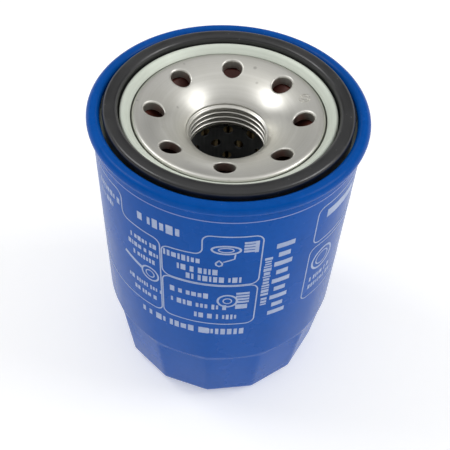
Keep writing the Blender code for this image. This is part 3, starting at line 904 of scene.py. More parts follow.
@dataclass
class Gasket:
    """The square-cut rubber gasket that stands proud of the seam."""

    width: float = 3.5 * MM
    edge: float = 1.0 * MM
    foot_edge: float = 0.25 * MM
    crown: float = 0.08 * MM
    crown_fillet: float = 2.0 * MM
    steps: int = 192
    span: Span = field(default_factory=lambda: Span.of("face_gasket"))

    @property
    def inner_radius(self) -> float:
        """The inside radius."""
        return self.span.radius - self.width

    def build(self) -> None:
        """Builds and dresses the gasket, with its edges rounded and its top a little crowned."""
        low, high = self.span.bottom, self.span.top
        middle = self.span.radius - self.width / 2
        corners = [
            (self.inner_radius, low, self.foot_edge),
            (self.span.radius, low, self.foot_edge),
            (self.span.radius, high - self.crown, self.edge),
            (middle, high, self.crown_fillet),
            (self.inner_radius, high - self.crown, self.edge),
        ]
        piece = turned("sealing_gasket", rounded(corners, closed=True), self.steps)
        deliver(piece, GASKET_RUBBER, Body.HOUSING, Slot.GASKET, "face_gasket")


@dataclass
class BasePlate:
    """The thick base plate: a flange under the lid, a dished face with round inlets, and a drawn and tapped neck."""

    thickness: float = 2.4 * MM
    shoulder: float = 22.5 * MM
    shoulder_fillet: float = 0.85 * MM
    step_width: float = 0.9 * MM
    step_offset: float = 1.5 * MM
    flange_drop: float = 3.3 * MM
    dish_radius: float = 17.8 * MM
    crown_radius: float = 23.2 * MM
    ring_inside: float = 14.0 * MM
    ring_outside: float = 21.4 * MM
    inlets: int = 8
    inlet_radius: float = 2.4 * MM
    inlet_rim: float = 0.5 * MM
    inlet_circle: float = 17.644 * MM
    inlet_phase: float = math.radians(-0.7)
    neck_wall: float = 2.4 * MM
    thread_pitch: float = 1.5 * MM
    thread_radius: float = 10.0 * MM
    run_out: float = 0.25 * MM
    steps_per_inlet: int = 16
    steps_to_rim: int = 7
    steps_per_pitch: int = 16
    widest_step: float = 0.45 * MM
    bend: float = 0.3 * MM
    run_in: float = 0.4 * MM
    burr: float = 0.1 * MM
    crown: float = field(default_factory=lambda: below_gasket(2.6 * MM))
    span: Span = field(default_factory=lambda: Span.of("base_plate"))

    @property
    def bore(self) -> float:
        """The radius of the thread's crests."""
        return self.thread_radius - 0.5413 * self.thread_pitch

    @property
    def steps(self) -> int:
        """The number of steps round the axis."""
        return self.inlets * self.steps_per_inlet

    def dish(self, radius: float, depth: float = 0.0) -> float:
        """The height of the dished face at a radius, at a depth below its upper side."""
        reach = self.dish_radius - depth
        return self.crown - self.dish_radius + math.sqrt(reach**2 - (self.crown_radius - radius) ** 2)

    def dished(self, one: float, two: float, depth: float = 0.0) -> list[Point2]:
        """Points of the dished face from one radius to another."""
        count = max(2, math.ceil(abs(two - one) / self.widest_step))
        return [(radius, self.dish(radius, depth)) for radius in spread(one, two, count)]

    def inlet_sector(self) -> bpy.types.Mesh:
        """Draws one sector of the dished face, with its round inlet and the inlet's soft rim.

        Returns:
            The sector, open at its sides.
        """
        half = math.pi / self.inlets
        per_side = self.steps_per_inlet
        soft = self.inlet_rim
        shape = Shape()

        def border(inside: float, outside: float) -> list[Point2]:
            """Walks round the sector's edge, starting at the outer arc's first end."""
            corners = [(outside, -half), (outside, half), (inside, half), (inside, -half)]
            return [polar(r, a) for r, a in walk(corners, [per_side] * 4)]

        def circle(radius: float) -> list[Point2]:
            """Walks round the inlet in step with the border."""
            turns = full_turn(4 * per_side, -math.pi / 4)
            return [(self.inlet_circle + radius * math.cos(a), radius * math.sin(a)) for a in turns]

        def laid(points: Sequence[Point2], depth: float, lift: float = 0.0) -> list[bmesh.types.BMVert]:
            """Lays points on the dished face, or at a lift from it."""
            return shape.ring([(x, y, self.dish(math.hypot(x, y), depth) + lift) for x, y in points])

        def between(one: Sequence[Point2], two: Sequence[Point2], depth: float) -> list[list[bmesh.types.BMVert]]:
            """Lays rings from one walk to another."""
            return [
                laid([(a + (c - a) * t, b + (d - b) * t) for (a, b), (c, d) in zip(one, two)], depth)
                for t in spread(0.0, 1.0, self.steps_to_rim)
            ]

        rings = between(border(self.ring_inside, self.ring_outside), circle(self.inlet_radius + soft), 0.0)
        for radius, lift in arc((self.inlet_radius + soft, -soft), soft, math.pi / 2, math.pi)[1:]:
            rings.append(laid(circle(radius), 0.0, lift))
        rings.append(laid(circle(self.inlet_radius), self.thickness, self.burr))
        under = border(self.ring_inside, self.shoulder - self.step_offset - self.run_in)
        rings += between(circle(self.inlet_radius + self.burr), under, self.thickness)
        shape.loft(rings)
        return shape.data("inlet_sector", outwards=False)

    def thread_depth(self, turn: float) -> float:
        """The depth of the groove at this share of a pitch, rounded at the crest and the root."""
        away = abs((turn + 0.5) % 1.0 - 0.5)
        depth = self.thread_radius - self.bore
        crest, flank, steepness = 0.13, 0.30, 3.4
        smooth = 0.5 * (1 + math.tanh(steepness * ((away - crest) / flank - 0.5)))
        edge = 0.5 * (1 + math.tanh(-steepness / 2))
        return depth * min(max((smooth - edge) / (1 - 2 * edge), 0.0), 1.0)

    def add_thread(self, shape: Shape, bottom: float, top: float, plain: Callable[[float], float]) -> None:
        """Adds the tapped bore, whose rows climb with the thread.

        Args:
            shape: The plate.
            bottom: The height of the bore's lower end.
            top: The height where the groove has run out.
            plain: The radius of the bore without its thread, at a height.
        """
        per_pitch = self.steps_per_pitch
        rows = []
        count = math.ceil((top - bottom) / self.thread_pitch) + 1
        for row in range(-per_pitch, count * per_pitch + 1):
            turn = row / per_pitch
            points = []
            for step in range(self.steps + 1):
                angle = 2 * math.pi * step / self.steps
                height = bottom + (turn + step / self.steps) * self.thread_pitch
                height = min(max(height, bottom), top)
                local = (height - bottom) / self.thread_pitch - step / self.steps
                one, two = plain(height), self.bore + self.thread_depth(local)
                blend = max(self.run_out - abs(one - two), 0.0) / self.run_out
                radius = max(one, two) + blend**2 * self.run_out / 4
                points.append(polar(radius, angle, height))
            rows.append(shape.ring(points))
        shape.loft(rows, closed=False)

    def build(self) -> None:
        """Builds and dresses the plate."""
        flange = self.crown - self.flange_drop
        neck = self.bore + self.neck_wall
        ledge = self.shoulder - self.step_offset
        mouth = self.thread_radius + self.run_out
        top = self.dish(mouth)

        def plain(height: float) -> float:
            """The dish's radius at a height."""
            rise = height - self.crown + self.dish_radius
            return self.crown_radius - math.sqrt(self.dish_radius**2 - rise**2)

        funnel = self.dished(mouth, self.ring_inside)
        shoulder = rounded(
            [
                (self.ring_outside, self.dish(self.ring_outside), 0.0),
                (self.shoulder, self.dish(self.shoulder), self.shoulder_fillet),
                (self.shoulder + self.step_width, flange, self.bend),
                (self.span.radius, flange, 0.2 * MM),
                (self.span.radius, flange - self.thickness, self.bend),
                (ledge + self.step_width, flange - self.thickness, self.bend),
                (ledge, self.dish(ledge, self.thickness), self.bend),
                (ledge - self.run_in, self.dish(ledge - self.run_in, self.thickness), 0.0),
            ]
        )
        under = self.dished(self.ring_inside, neck + 0.6 * MM, self.thickness)
        turn = [
            under[-1],
            (neck, self.dish(neck, self.thickness)),
            (neck, self.span.bottom),
            (self.bore, self.span.bottom),
        ]
        fillets = (0.0, 0.8 * MM, self.bend, 0.0)
        throat = under[:-1] + rounded([(*point, fillet) for point, fillet in zip(turn, fillets)])
        shape = Shape()
        for line in (funnel, shoulder, throat):
            shape.lathe(line, self.steps, closed=False)
        self.add_thread(shape, self.span.bottom, top, plain)
        ring = ring_of("inlet_ring", self.inlet_sector(), self.inlets, STEEL.build())
        shape.take(ring)
        shape.weld()
        bmesh.ops.rotate(shape.mesh, matrix=Matrix.Rotation(self.inlet_phase, 3, "Z"), verts=shape.mesh.verts)
        deliver(shape.finish("tapped_base_plate"), STEEL, Body.HOUSING, Slot.PLATE, "base_plate")


@dataclass
class PlateStamp:
    """A small plain stamp pressed into the plate between two inlets: two raised rings."""

    place: float = 19.2 * MM
    degrees: float = 21.0
    radii: tuple[float, float] = (1.25 * MM, 0.62 * MM)
    width: float = 0.36 * MM
    proud: float = 0.17 * MM
    sunk: float = 0.1 * MM
    steps: int = 48
    plate: BasePlate = field(default_factory=BasePlate)

    def build(self) -> None:
        """Builds and dresses the stamp, which follows the dished face."""
        angle = math.radians(self.degrees)
        middle = Vector((math.cos(angle), math.sin(angle))) * self.place
        foot, top = self.width / 2, self.width / 4
        section = ((-foot, -self.sunk), (-top, self.proud), (top, self.proud), (foot, -self.sunk))
        shape = Shape()
        for radius in self.radii:
            rings = []
            for across, lift in section:
                turns = full_turn(self.steps)
                spots = [middle + Vector((math.cos(a), math.sin(a))) * (radius + across) for a in turns]
                rings.append(shape.ring([(spot.x, spot.y, self.plate.dish(spot.length) + lift) for spot in spots]))
            shape.loft(rings, joined=True)
        deliver(shape.finish("stamped_rings"), STEEL, Body.HOUSING, None)


@dataclass
class DrainbackValve:
    """The rubber anti-drainback valve: a collar round the neck and a lip behind the inlets."""

    collar_wall: float = 2.2 * MM
    collar_height: float = 4.3 * MM
    lip: float = 0.9 * MM
    inner: float = 11.888 * MM
    steps: int = 128
    span: Span = field(default_factory=lambda: Span.of("anti_drainback_valve"))

    def build(self) -> None:
        """Builds and dresses the valve."""
        low, high, reach = self.span.bottom, self.span.top, self.span.radius
        collar, root = self.inner + self.collar_wall, self.span.bottom + self.collar_height
        corners = [
            (self.inner, low, 0.3 * MM),
            (collar, low, 0.5 * MM),
            (collar, root - 3 * self.lip, 1.6 * MM),
            (reach, high - self.lip, 0.3 * MM),
            (reach, high, 0.25 * MM),
            (reach - self.lip, high, 0.3 * MM),
            (collar, root - self.lip, 1.4 * MM),
            (self.inner, root, 0.4 * MM),
        ]
        piece = turned("drainback_flap", rounded(corners, closed=True), self.steps)
        deliver(piece, VALVE_RUBBER, Body.HOUSING, Slot.VALVE, "anti_drainback_valve")


@dataclass
class Spring:
    """A compression spring of round wire with a closed turn at each end."""

    name: str
    node: str
    wire: float
    turns: float
    joint: str
    body: Body
    held_at_top: bool
    travel: float
    per_turn: int = 40
    sides: int = 14
    closed_share: float = 1.15

    def build(self) -> None:
        """Winds the wire and dresses it."""
        span = Span.of(self.node)
        closed = self.wire * self.closed_share
        opened = (span.top - span.bottom - self.wire - 2 * closed) / (self.turns - 2)
        recipe = Recipe(
            self.name + "_coil", radius=span.radius - self.wire / 2, wire=self.wire, bottom=span.bottom,
            turns=self.turns, per_turn=self.per_turn, closed_pitch=closed, open_pitch=opened,
            material=SPRING_STEEL.build(),
        )
        inputs = recipe.inputs
        count = inputs["turns"] * inputs["per_turn"] + 1.0
        line = recipe.field("GeometryNodeMeshLine", {"Count": count, "Offset": (0.0, 0.0, 0.1 * MM)})
        curve = recipe.field("GeometryNodeMeshToCurve", {"Mesh": line})
        turn = recipe.index() / inputs["per_turn"]
        free = (turn - 1.0).math("MAXIMUM", 0.0).math("MINIMUM", inputs["turns"] - 2.0)
        rise = free * inputs["open_pitch"] + (turn - free) * inputs["closed_pitch"]
        angle = turn * (2 * math.pi)
        height = rise + inputs["bottom"] + inputs["wire"] * 0.5
        path = recipe.moved(curve, recipe.around(inputs["radius"], angle, height))
        section = {"Resolution": self.sides, "Radius": inputs["wire"] * 0.5}
        outline = recipe.field("GeometryNodeCurvePrimitiveCircle", section)
        wound = {"Curve": path, "Profile Curve": outline, "Fill Caps": True}
        recipe.close(recipe.field("GeometryNodeCurveToMesh", wound), inputs["material"])
        piece = recipe.make(self.name)
        deliver(piece, SPRING_STEEL, self.body, Slot.SPRING, self.node)
        height = span.top - span.bottom
        (height - self.travel) / height
        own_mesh(piece)


# ---------------------------------------------------------------------------------------------------------
# The filter element
# ---------------------------------------------------------------------------------------------------------


@dataclass
class EndCaps:
    """The element's two pressed end caps and the rings of adhesive inside them."""

    sheet: float = 0.5 * MM
    collar: float = 1.4 * MM
    collar_radius: float = 11.05 * MM
    port: float = 6.0 * MM
    seat_rise: float = 0.9 * MM
    skirt_fillet: float = 0.9 * MM
    steps: int = 144
    bond_inner: float = 12.4 * MM
    bond_steps: int = 160
    bond_rings: int = 16
    unevenness: float = 0.10
    seed: int = 11

    def build(self) -> None:
        """Builds and dresses both caps and both rings of adhesive."""
        upper, lower = Span.of("upper_end_cap"), Span.of("lower_end_cap")
        outer = upper.radius - self.sheet / 2
        top = upper.top - self.sheet / 2
        corners = [
            (self.collar_radius, top - self.collar, 0.0),
            (self.collar_radius, top, 0.5 * MM),
            (outer, top, self.skirt_fillet),
            (outer, upper.bottom, 0.0),
        ]
        piece = turned("pressed_upper_cap", sheet(rounded(corners), self.sheet), self.steps)
        deliver(piece, TINPLATE, Body.ELEMENT, Slot.TINPLATE, "upper_end_cap")
        floor = lower.bottom + self.sheet / 2
        seat = self.port + self.sheet / 2
        corners = [
            (seat, floor + self.sheet / 2 + self.seat_rise, 0.0),
            (seat, floor, 0.4 * MM),
            (outer, floor, self.skirt_fillet),
            (outer, lower.top, 0.0),
        ]
        piece = turned("pressed_lower_cap", sheet(rounded(corners), self.sheet), self.steps)
        deliver(piece, TINPLATE, Body.ELEMENT, Slot.TINPLATE, "lower_end_cap")
        for name, node in (("set_upper_bond", "upper_bond_ring"), ("set_lower_bond", "lower_bond_ring")):
            deliver(self.bond(name, Span.of(node)), ADHESIVE, Body.ELEMENT, Slot.ADHESIVE, node)

    def bond(self, name: str, span: Span) -> bpy.types.Object:
        """Makes a ring of set adhesive with an uneven face.

        Args:
            name: The piece's name.
            span: The ring's room.

        Returns:
            The ring.
        """
        middle = (span.bottom + span.top) / 2
        shape = Shape()
        across = spread(self.bond_inner, span.radius, self.bond_rings)
        loop = [(radius, span.bottom) for radius in across] + [(radius, span.top) for radius in across[::-1]]
        shape.lathe(loop, self.bond_steps)
        random.seed(self.seed)
        for vert in shape.mesh.verts:
            sink = random.uniform(0.0, self.unevenness) * MM
            vert.co.z += sink if vert.co.z < middle else -sink
        return shape.finish(name)


@dataclass
class CentreTube:
    """The perforated steel tube that the paper leans on."""

    sheet: float = 0.5 * MM
    hole: float = 1.3 * MM
    per_row: int = 12
    rows: int = 12
    row_pitch: float = 4.5 * MM
    first_row: float = 2.8 * MM
    edge: float = 0.1 * MM
    per_side: int = 8
    span: Span = field(default_factory=lambda: Span.of("centre_tube"))

    def cell(self) -> bpy.types.Mesh:
        """Draws the wall round one hole, on the +X side and centred on height 0.

        Returns:
            The cell, open where it meets its neighbours.
        """
        half = math.pi / self.per_row
        tall = self.row_pitch / 2
        outer, inner = self.span.radius, self.span.radius - self.sheet
        corners = [(-half, -tall), (half, -tall), (half, tall), (-half, tall)]
        edge = walk(corners, [self.per_side, self.per_side // 2] * 2)
        turns = [math.atan2(height, angle * outer) for angle, height in edge]

        def circle(reach: float, radius: float) -> list[tuple[float, float, float]]:
            """Walks round the hole at one depth in the wall."""
            return [polar(radius, reach * math.cos(turn) / outer, reach * math.sin(turn)) for turn in turns]

        def border(radius: float) -> list[tuple[float, float, float]]:
            """Walks round the cell's edge at one radius."""
            return [polar(radius, angle, height) for angle, height in edge]

        shape = Shape()
        rings = [
            border(outer),
            circle(self.hole + self.edge, outer),
            circle(self.hole, outer - self.edge),
            circle(self.hole, inner + self.edge),
            circle(self.hole + self.edge, inner),
            border(inner),
        ]
        shape.loft([shape.ring(points) for points in rings])
        return shape.data("tube_cell", outwards=False)

    def perforate(self) -> bpy.types.Object:
        """Repeats the cell in staggered rows.

        Returns:
            The perforated length of the tube, open at both ends.
        """
        recipe = Recipe(
            "perforate", per_row=self.per_row, rows=self.rows, row_pitch=self.row_pitch,
            first_row=self.span.top - self.first_row, material=TUBE_STEEL.build(),
        )
        inputs = recipe.inputs
        holes = recipe.points(inputs["per_row"] * inputs["rows"])
        number = recipe.index()
        row = (number / inputs["per_row"]).math("FLOOR")
        stagger = row.math("FLOORED_MODULO", 2.0) * 0.5
        angle = (number + stagger) / inputs["per_row"] * (2 * math.pi)
        raised = recipe.moved(holes, recipe.vector(0.0, 0.0, inputs["first_row"] - row * inputs["row_pitch"]))
        recipe.close(recipe.copies(raised, recipe.seed, recipe.vector(0.0, 0.0, angle)), inputs["material"])
        return recipe.make("perforated_length", self.cell())

    def build(self) -> None:
        """Builds and dresses the tube, with a plain band at each end."""
        outer, inner = self.span.radius, self.span.radius - self.sheet
        steps = self.per_row * self.per_side
        start = math.pi / self.per_row
        high = self.span.top - self.first_row + self.row_pitch / 2
        low = high - self.rows * self.row_pitch
        shape = Shape()
        shape.take(self.perforate())
        for edge, end in ((high, self.span.top), (low, self.span.bottom)):
            shape.lathe([(outer, edge), (outer, end), (inner, end), (inner, edge)], steps, start, closed=False)
        shape.weld()
        deliver(shape.finish("perforated_tube"), TUBE_STEEL, Body.ELEMENT, Slot.TUBE, "centre_tube")


@dataclass
class PleatedPaper:
    """The pleated filter paper and the metal channel that clips its ends together."""

    pleats: int = 40
    thickness: float = 0.5 * MM
    inner: float = 12.9 * MM
    outer: float = 25.07 * MM
    tip: float = 0.9 * MM
    root: float = 0.7 * MM
    layers: int = 16
    tip_fillet: float = 0.34 * MM
    root_fillet: float = 0.26 * MM
    clip_sheet: float = 0.4 * MM
    clip_layers: int = 120
    clip_fillet: float = 0.35 * MM
    crimp_pitch: float = 6.0 * MM
    crimp_depth: float = 0.12 * MM
    crimp_edge: float = 0.8 * MM

    def pleat(self, span: Span) -> bpy.types.Mesh:
        """Draws one pleat as a folded sheet, with its tip at +X.

        Args:
            span: The room of the paper.

        Returns:
            The pleat, open where it meets its neighbours.
        """
        pitch = 2 * math.pi / self.pleats
        tip, root = self.tip / 2 / self.outer, self.root / 2 / self.inner
        folds = [
            (self.inner, -pitch / 2, 0.0),
            (self.inner, -pitch / 2 + root, self.root_fillet),
            (self.outer, -tip, self.tip_fillet),
            (self.outer, tip, self.tip_fillet),
            (self.inner, pitch / 2 - root, self.root_fillet),
            (self.inner, pitch / 2, 0.0),
        ]
        line = rounded([polar(*fold) for fold in folds])
        loop = sheet(line, self.thickness)
        count = len(line)
        for end, angle in ((0, -pitch / 2), (count - 1, pitch / 2)):
            for index in (end, 2 * count - 1 - end):
                loop[index] = polar(math.hypot(*loop[index]), angle)
        shape = Shape()
        heights = spread(span.bottom, span.top, self.layers)
        near = [shape.ring((x, y, z) for x, y in loop[:count]) for z in heights]
        far = [shape.ring((x, y, z) for x, y in loop[count:][::-1]) for z in heights]
        for rows in (near, far, (near[0], far[0]), (near[-1], far[-1])):
            shape.loft(rows, closed=False)
        return shape.data("pleat", outwards=False)

    def fold(self) -> bpy.types.Object:
        """Repeats the pleat round the axis and lets the paper waver a little.

        Returns:
            The closed ring of pleats.
        """
        recipe = Recipe("pleats", count=self.pleats, waver=0.10 * MM, waver_scale=170.0, material=PAPER.build())
        inputs = recipe.inputs
        real = recipe.real(recipe.wheel(inputs["count"]))
        noise = {"Vector": recipe.position(), "Scale": inputs["waver_scale"], "Detail": 2.0}
        shake = recipe.field("ShaderNodeTexNoise", noise, output="Fac") - 0.5
        _, angle, _ = recipe.polar(recipe.position())
        side = shake * inputs["waver"] * 2.0
        offset = recipe.vector(angle.math("SINE") * side * -1.0, angle.math("COSINE") * side, 0.0)
        moved = recipe.field("GeometryNodeSetPosition", {"Geometry": real, "Offset": offset})
        recipe.close(moved, inputs["material"])
        return recipe.make("folded_paper", self.pleat(Span.of("pleated_media")))

    def build(self) -> None:
        """Builds and dresses the paper and its clip."""
        shape = Shape()
        shape.take(self.fold())
        deliver(shape.finish("pleated_paper"), PAPER, Body.ELEMENT, Slot.PAPER, "pleated_media")
        deliver(self.clip(), TINPLATE, Body.ELEMENT, Slot.TINPLATE, "media_seam_clip")

    def clip(self) -> bpy.types.Object:
        """Bends the clip's channel over the outer tip of the seam pleat.

        Returns:
            The clip, with its edges eased and a row of crimps.
        """
        low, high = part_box("media_seam_clip")
        crimped = high[0] - self.clip_sheet - self.crimp_edge
        back, side = high[0] - self.clip_sheet / 2, high[1] - self.clip_sheet / 2
        middle = [(low[0], side, 0.0), (back, side, self.clip_fillet), (back, -side, self.clip_fillet),
                  (low[0], -side, 0.0)]
        outline = sheet(rounded(middle), self.clip_sheet)
        shape = Shape()
        rows = []
        for height in spread(low[2], high[2], self.clip_layers):
            phase = (height - low[2]) / self.crimp_pitch % 1.0
            squeeze = self.crimp_depth * max(0.0, 1 - abs(phase - 0.5) * 8)
            pulls = [squeeze if x < crimped else 0.0 for x, _ in outline]
            rows.append(shape.ring((x, y - math.copysign(pull, y), height) for (x, y), pull in zip(outline, pulls)))
        shape.loft(rows)
        shape.mesh.faces.new(rows[0][::-1])
        shape.mesh.faces.new(rows[-1])
        return shape.finish("crimped_clip")


@dataclass
class BypassValve:
    """The bypass valve: its cage, its poppet and the seal under the poppet's disc."""

    sheet: float = 0.6 * MM
    guide: float = 1.8 * MM
    wall: float = 9.6 * MM
    windows: int = 3
    window_width: float = 9.0 * MM
    window_height: float = 8.0 * MM
    hub: float = 3.7 * MM
    stem: float = 1.5 * MM
    disc: float = 0.8 * MM
    window_steps: int = 8
    steps: int = 96

    def cage(self) -> bpy.types.Object:
        """Draws the cage's middle surface, opens its windows and gives it the sheet's thickness.

        Returns:
            The cage.
        """
        span = Span.of("bypass_cage")
        top = span.top - self.sheet / 2
        floor = span.bottom + self.sheet / 2
        low = span.bottom + (span.top - span.bottom - self.window_height) / 2
        high = low + self.window_height
        corners = [
            (span.radius, floor, 0.0),
            (self.wall, floor, 0.5 * MM),
            *[(self.wall, height, 0.0) for height in spread(low, high, self.window_steps)],
            (self.wall, top, 0.9 * MM),
            (self.guide + 0.6 * MM, top, 0.0),
            (self.guide, top, 0.0),
        ]
        shape = Shape()
        shape.lathe(rounded(corners), self.steps, closed=False)
        half = math.asin(self.window_width / 2 / self.wall)
        sector = math.pi / self.windows
        gone = []
        for face in shape.mesh.faces:
            middle = face.calc_center_median()
            away = abs((math.atan2(middle.y, middle.x) + sector) % (2 * sector) - sector)
            if low < middle.z < high and away < half and middle.xy.length > self.wall - 0.1 * MM:
                gone.append(face)
        bmesh.ops.delete(shape.mesh, geom=gone, context="FACES")
        rig = bpy.data.objects.new("cage_rig", shape.data("cage"))
        bpy.context.scene.collection.objects.link(rig)
        thick = rig.modifiers.new("sheet", "SOLIDIFY")
        thick.thickness, thick.offset = self.sheet, 0.0
        eased = rig.modifiers.new("edges", "BEVEL")
        eased.width, eased.segments, eased.limit_method = 0.08 * MM, 2, "ANGLE"
        eased.angle_limit = math.radians(50)
        return settled(rig, "windowed_cage")

    def build(self) -> None:
        """Builds and dresses the cage, the poppet and the seal."""
        deliver(self.cage(), TINPLATE, Body.ELEMENT, Slot.TINPLATE, "bypass_cage")
        poppet, seal = Span.of("bypass_poppet"), Span.of("bypass_seal")
        disc = seal.top + 0.3 * MM
        corners = [
            (0.0, poppet.bottom, 0.0),
            (self.hub, poppet.bottom, 0.2 * MM),
            (self.hub, disc, 0.0),
            (poppet.radius, disc, 0.15 * MM),
            (poppet.radius, disc + self.disc, 0.3 * MM),
            (self.stem, disc + self.disc, 0.4 * MM),
            (self.stem, poppet.top, 0.7 * MM),
            (0.0, poppet.top, 0.0),
        ]
        piece = turned("turned_poppet", rounded(corners), self.steps)
        deliver(piece, TINPLATE, Body.BYPASS, Slot.TINPLATE, "bypass_poppet")
        corners = [
            (self.hub + 0.3 * MM, seal.bottom, 0.15 * MM),
            (seal.radius, seal.bottom, 0.2 * MM),
            (seal.radius, seal.top, 0.2 * MM),
            (self.hub + 0.3 * MM, seal.top, 0.15 * MM),
        ]
        piece = turned("moulded_seal", rounded(corners, closed=True), self.steps)
        deliver(piece, GASKET_RUBBER, Body.BYPASS, Slot.GASKET, "bypass_seal")


# ---------------------------------------------------------------------------------------------------------
# The print on the can
# ---------------------------------------------------------------------------------------------------------


class Layout:
    """A flat drawing of ink, x along the can's wall and y up it, in metres."""

    STEP = 1.0 * MM
    RING_STEPS = 28
    WIDTHS = (0.26, 0.34, 0.46, 0.58)
    HEIGHTS = (0.8, 1.0, 1.0)
    GAPS = (0.2, 0.2, 0.2, 0.5)

    def __init__(self, radius: float) -> None:
        """Starts an empty drawing for a wall of this radius."""
        self.radius = radius
        self.turn = 0.0
        self.shape = Shape()
        self.marks: list[tuple[float, float, float, float]] = []

    def at(self, degrees: float, height: float) -> Vector:
        """The place of an angle in degrees, past the layout's own turn, and a height in millimetres."""
        return Vector((math.radians(self.turn + degrees) * self.radius, height * MM))

    def stroke(self, points: Sequence[Vector], width: float, closed: bool = False) -> None:
        """Draws a line of even width.

        Args:
            points: The line's points.
            width: Its width.
            closed: Whether its ends join.
        """
        ends = [*points, points[0]] if closed else list(points)
        line = [ends[0]]
        for one, two in zip(ends, ends[1:]):
            parts = max(1, math.ceil((two - one).length / self.STEP))
            line += [one.lerp(two, (index + 1) / parts) for index in range(parts)]
        if closed:
            line.pop()
        rows = []
        for index, point in enumerate(line):
            before = line[index - 1] if index or closed else point
            after = line[(index + 1) % len(line)] if index + 1 < len(line) or closed else point
            run = (after - before).normalized()
            side = Vector((-run.y, run.x)) * width / 2
            rows.append(self.shape.ring([(*(point - side), 0.0), (*(point + side), 0.0)]))
        for one, two in zip(rows, [*rows[1:], rows[0]] if closed else rows[1:]):
            self.shape.mesh.faces.new([one[0], two[0], two[1], one[1]])

    def frame(self, corners: Sequence[Point2], width: float = 0.32 * MM, fillet: float = 2.0 * MM) -> None:
        """Draws a closed frame with rounded corners.

        Args:
            corners: Its (degrees, millimetres) corners.
            width: The line's width.
            fillet: The corners' radius.
        """
        places = [self.at(*corner) for corner in corners]
        points = [Vector(point) for point in rounded([(*place, fillet) for place in places], closed=True)]
        self.stroke(points, width, closed=True)

    def block(self, low: Vector, high: Vector) -> None:
        """Fills a rectangle."""
        middle = (low.y + high.y) / 2
        self.stroke([Vector((low.x, middle)), Vector((high.x, middle))], high.y - low.y)

    def ring(self, centre: Vector, radius: float, width: float, flat: float = 1.0) -> None:
        """Draws a ring, flattened in height if flat is under 1."""
        angles = full_turn(self.RING_STEPS)
        places = [Vector((radius * math.cos(angle), flat * radius * math.sin(angle))) for angle in angles]
        self.stroke([centre + place for place in places], width, closed=True)

    def row(self, degrees: float, height: float, length: float, size: float, upright: bool = False) -> None:
        """Sets a row of small strokes that stands for a line of small print.

        Args:
            degrees: The angle of the row's middle.
            height: The height of its middle, in millimetres.
            length: Its length in millimetres.
            size: The height of its strokes in millimetres.
            upright: Whether the row runs up the wall.
        """
        middle = self.at(degrees, height)
        along = Vector((0, 1)) if upright else Vector((1, 0))
        at = -length / 2
        while at < length / 2 - 0.2 * size:
            wide, tall = random.choice(self.WIDTHS) * size, random.choice(self.HEIGHTS) * size
            place = middle + along * ((at + wide / 2) * MM)
            self.marks.append((*place, tall * MM, wide * MM) if upright else (*place, wide * MM, tall * MM))
            at += wide + random.choice(self.GAPS) * size

    def seed(self) -> bpy.types.Mesh:
        """Gives the drawing and its marks as one mesh.

        Returns:
            Faces for the lines and loose points, with their sizes, for the marks.
        """
        count = len(self.shape.mesh.verts)
        for x, y, _, _ in self.marks:
            self.shape.mesh.verts.new((x, y, 0.0))
        made = bpy.data.meshes.new("ink_seed")
        bmesh.ops.recalc_face_normals(self.shape.mesh, faces=self.shape.mesh.faces)
        for face in self.shape.mesh.faces:
            if face.normal.z < 0:
                face.normal_flip()
        self.shape.mesh.to_mesh(made)
        self.shape.mesh.free()
        for name, column in (("mark_width", 2), ("mark_height", 3)):
            layer = made.attributes.new(name, "FLOAT", "POINT")
            layer.data.foreach_set("value", [0.0] * count + [mark[column] for mark in self.marks])
        return made


